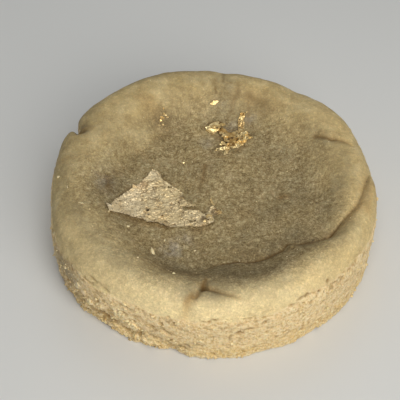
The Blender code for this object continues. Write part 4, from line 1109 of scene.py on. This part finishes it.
def round_grain():
    """An icosahedron cut once more: 42 points and 80 faces on the unit sphere."""
    g = 0.5 * (1.0 + math.sqrt(5.0))
    points = [(-1, g, 0), (1, g, 0), (-1, -g, 0), (1, -g, 0), (0, -1, g), (0, 1, g), (0, -1, -g), (0, 1, -g), (g, 0, -1), (g, 0, 1), (-g, 0, -1), (-g, 0, 1)]
    points = [np.array(v, float) / math.hypot(1.0, g) for v in points]
    faces = [(0, 11, 5), (0, 5, 1), (0, 1, 7), (0, 7, 10), (0, 10, 11), (1, 5, 9), (5, 11, 4), (11, 10, 2), (10, 7, 6), (7, 1, 8),
             (3, 9, 4), (3, 4, 2), (3, 2, 6), (3, 6, 8), (3, 8, 9), (4, 9, 5), (2, 4, 11), (6, 2, 10), (8, 6, 7), (9, 8, 1)]
    made, out = {}, []

    def middle(i, j):
        key = (min(i, j), max(i, j))
        if key not in made:
            v = points[i] + points[j]
            made[key] = len(points)
            points.append(v / np.linalg.norm(v))
        return made[key]

    for a, b, c in faces:
        ab, bc, ca = middle(a, b), middle(b, c), middle(c, a)
        out += [(a, ab, ca), (b, bc, ab), (c, ca, bc), (ab, bc, ca)]
    return np.array(points), np.array(out)


# crumbs lying on the skin: x, y, length, width, turn in degrees
TOP_CRUMBS = ((-12.8, -17.8, 1.15, 0.42, 105.0), (-18.3, -11.6, 0.34, 0.30, 0.0), (-34.4, 0.9, 0.34, 0.30, 20.0), (-28.6, -7.9, 0.75, 0.14, 165.0), (-7.9, -26.4, 0.32, 0.28, 0.0),
              (-26.6, -9.4, 0.22, 0.18, 0.0), (-10.2, -14.9, 0.30, 0.16, 60.0), (-3.6, -17.4, 0.34, 0.15, 20.0),
              (-22.6, -8.2, 0.25, 0.2, 40.0), (10.1, -3.5, 0.24, 0.13, 80.0), (-32.0, -3.0, 0.5, 0.11, 100.0), (-15.6, -22.4, 0.22, 0.2, 0.0))


def loose_crumbs(surface, number, bearing):
    pick = np.random.default_rng(11)
    ball, ball_faces = round_grain()
    z = surface[:, 2]
    left = lobe(bearing, -130, 26)
    weight = np.where((number > 2.6) & (number < 4.7) & (z < 14.2), 1.0, 0.0)
    weight = weight * (0.14 + 0.35 * smooth((4.0 - z) / 3.5) + 0.35 * left * smooth((9.0 - z) / 4.0) + 0.4 * lobe(bearing, -92, 26) * smooth((6.0 - z) / 4.0))
    chosen = pick.choice(len(surface), 1300, replace=False, p=weight / weight.sum())
    centres = surface[chosen]
    b = np.radians(bearing[chosen])
    out = np.stack([np.cos(b), np.sin(b), 0.0 * b], 1)
    size = 0.10 + 0.24 * pick.random(len(chosen)) ** 2.2 + 0.12 * left[chosen] * pick.random(len(chosen))
    centres = centres + out * (size * (0.30 - 0.6 * pick.random(len(chosen))))[:, None]
    centres[:, 2] = np.maximum(centres[:, 2], size * 0.75)
    wide = np.stack([size * (0.8 + 0.9 * pick.random(len(size))), size * (0.6 + 0.6 * pick.random(len(size))), size * (0.5 + 0.5 * pick.random(len(size)))], 1)
    turn = 6.2832 * pick.random(len(size))
    tone = np.clip(0.45 * pick.random(len(size)) + 0.25 * smooth((7.0 - centres[:, 2]) / 7.0), 0.0, 1.0)
    # three pale clusters at the front left
    for at, cz, spread, count in ((-139.5, 10.6, 0.9, 16), (-134.5, 7.8, 0.7, 12), (-117.5, 7.4, 1.2, 16), (-122.0, 10.0, 1.3, 14)):
        turned = math.radians(at)
        base = np.array([(COOKIE_R - 0.6) * math.cos(turned), (COOKIE_R - 0.6) * math.sin(turned), cz])
        base = base + np.array([spread, spread, spread * 0.8]) * (pick.random((count, 3)) + pick.random((count, 3)) - 1.0)
        r = np.hypot(base[:, 0], base[:, 1])
        edge = outline(np.degrees(np.arctan2(base[:, 1], base[:, 0]))) - 0.05
        base[:, :2] *= (edge / r)[:, None]
        size_c = 0.22 + 0.25 * pick.random(count)
        centres = np.concatenate([centres, base])
        wide = np.concatenate([wide, np.stack([size_c * 1.2, size_c, size_c * 0.9], 1)])
        turn = np.concatenate([turn, 6.2832 * pick.random(count)])
        tone = np.concatenate([tone, np.full(count, 0.0)])
    extra = np.array(TOP_CRUMBS)
    angle, reach = 6.2832 * pick.random(60), 35.0 * np.sqrt(pick.random(60))
    tiny = 0.05 + 0.07 * pick.random(60)
    extra = np.concatenate([extra, np.stack([reach * np.cos(angle), reach * np.sin(angle), tiny * 1.3, tiny, 57.3 * angle], 1)])
    level = ground(extra[:, 0], extra[:, 1])
    centres = np.concatenate([centres, np.stack([extra[:, 0], extra[:, 1], level + 0.25 * extra[:, 3]], 1)])
    wide = np.concatenate([wide, np.stack([extra[:, 2], extra[:, 3], 0.8 * extra[:, 3]], 1)])
    turn = np.concatenate([turn, np.radians(extra[:, 4])])
    tone = np.concatenate([tone, np.full(len(extra), 0.05)])

    n, m = len(centres), len(ball)
    lump = 1.0 + 0.30 * (2.0 * pick.random((n, m)) - 1.0)
    shape = ball[None] * lump[:, :, None] * wide[:, None, :]
    c, q = np.cos(turn)[:, None], np.sin(turn)[:, None]
    points = np.stack([c * shape[:, :, 0] - q * shape[:, :, 1], q * shape[:, :, 0] + c * shape[:, :, 1], shape[:, :, 2]], 2) + centres[:, None, :]
    points[:, :, 2] = np.maximum(points[:, :, 2], 0.0)
    faces = ball_faces[None] + (m * np.arange(n))[:, None, None]
    return make_object("dough_crumbs", points.reshape(-1, 3), faces.reshape(-1, 3), {"tone": np.repeat(tone, m)})


def crumb_material():
    mat, tree, bsdf = new_material("dough_crumbs")
    where = add(tree, "ShaderNodeTexCoord").outputs["Object"]
    grain = noise(tree, where, 1900.0, 2.0)
    base = blend_colour(tree, attribute(tree, "tone"), (0.85, 0.70, 0.41), (0.73, 0.50, 0.20))
    base = blend_colour(tree, remap(tree, grain, 0.45, 0.7, 0.0, 0.5), base, (0.60, 0.39, 0.15))
    tree.links.new(base, bsdf.inputs["Base Color"])
    bsdf.inputs["Roughness"].default_value = 0.7
    bsdf.inputs["Specular IOR Level"].default_value = 0.35
    bsdf.inputs["Subsurface Weight"].default_value = 0.15
    bsdf.inputs["Subsurface Radius"].default_value = (0.0012, 0.0007, 0.0003)
    bsdf.inputs["Subsurface Scale"].default_value = 1.0
    return mat


matt_gold = gold_material("gold_leaf_matt", (0.71, 0.54, 0.262), (0.86, 0.69, 0.39), 0.42, 0.44)
bright_gold = gold_material("gold_leaf_bright", (0.80, 0.56, 0.215), (0.90, 0.735, 0.395), 0.68, 0.34)
leaf = large_leaf()
leaf.data.materials.append(matt_gold)
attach(leaf, "root")
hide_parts("gold_leaf_large")
scraps = crumpled_leaf()
scraps.data.materials.append(bright_gold)
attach(scraps, "root")
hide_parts("gold_leaf_crumpled")
flecks = gold_flecks()
flecks.data.materials.append(bright_gold)
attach(flecks, "root")
crumbs = loose_crumbs(cookie_points, cookie_number, cookie_bearing)
crumbs.data.materials.append(crumb_material())
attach(crumbs, "root")
for piece in (leaf, scraps, flecks, crumbs):
    print(piece.name, "triangles", len(piece.data.polygons))
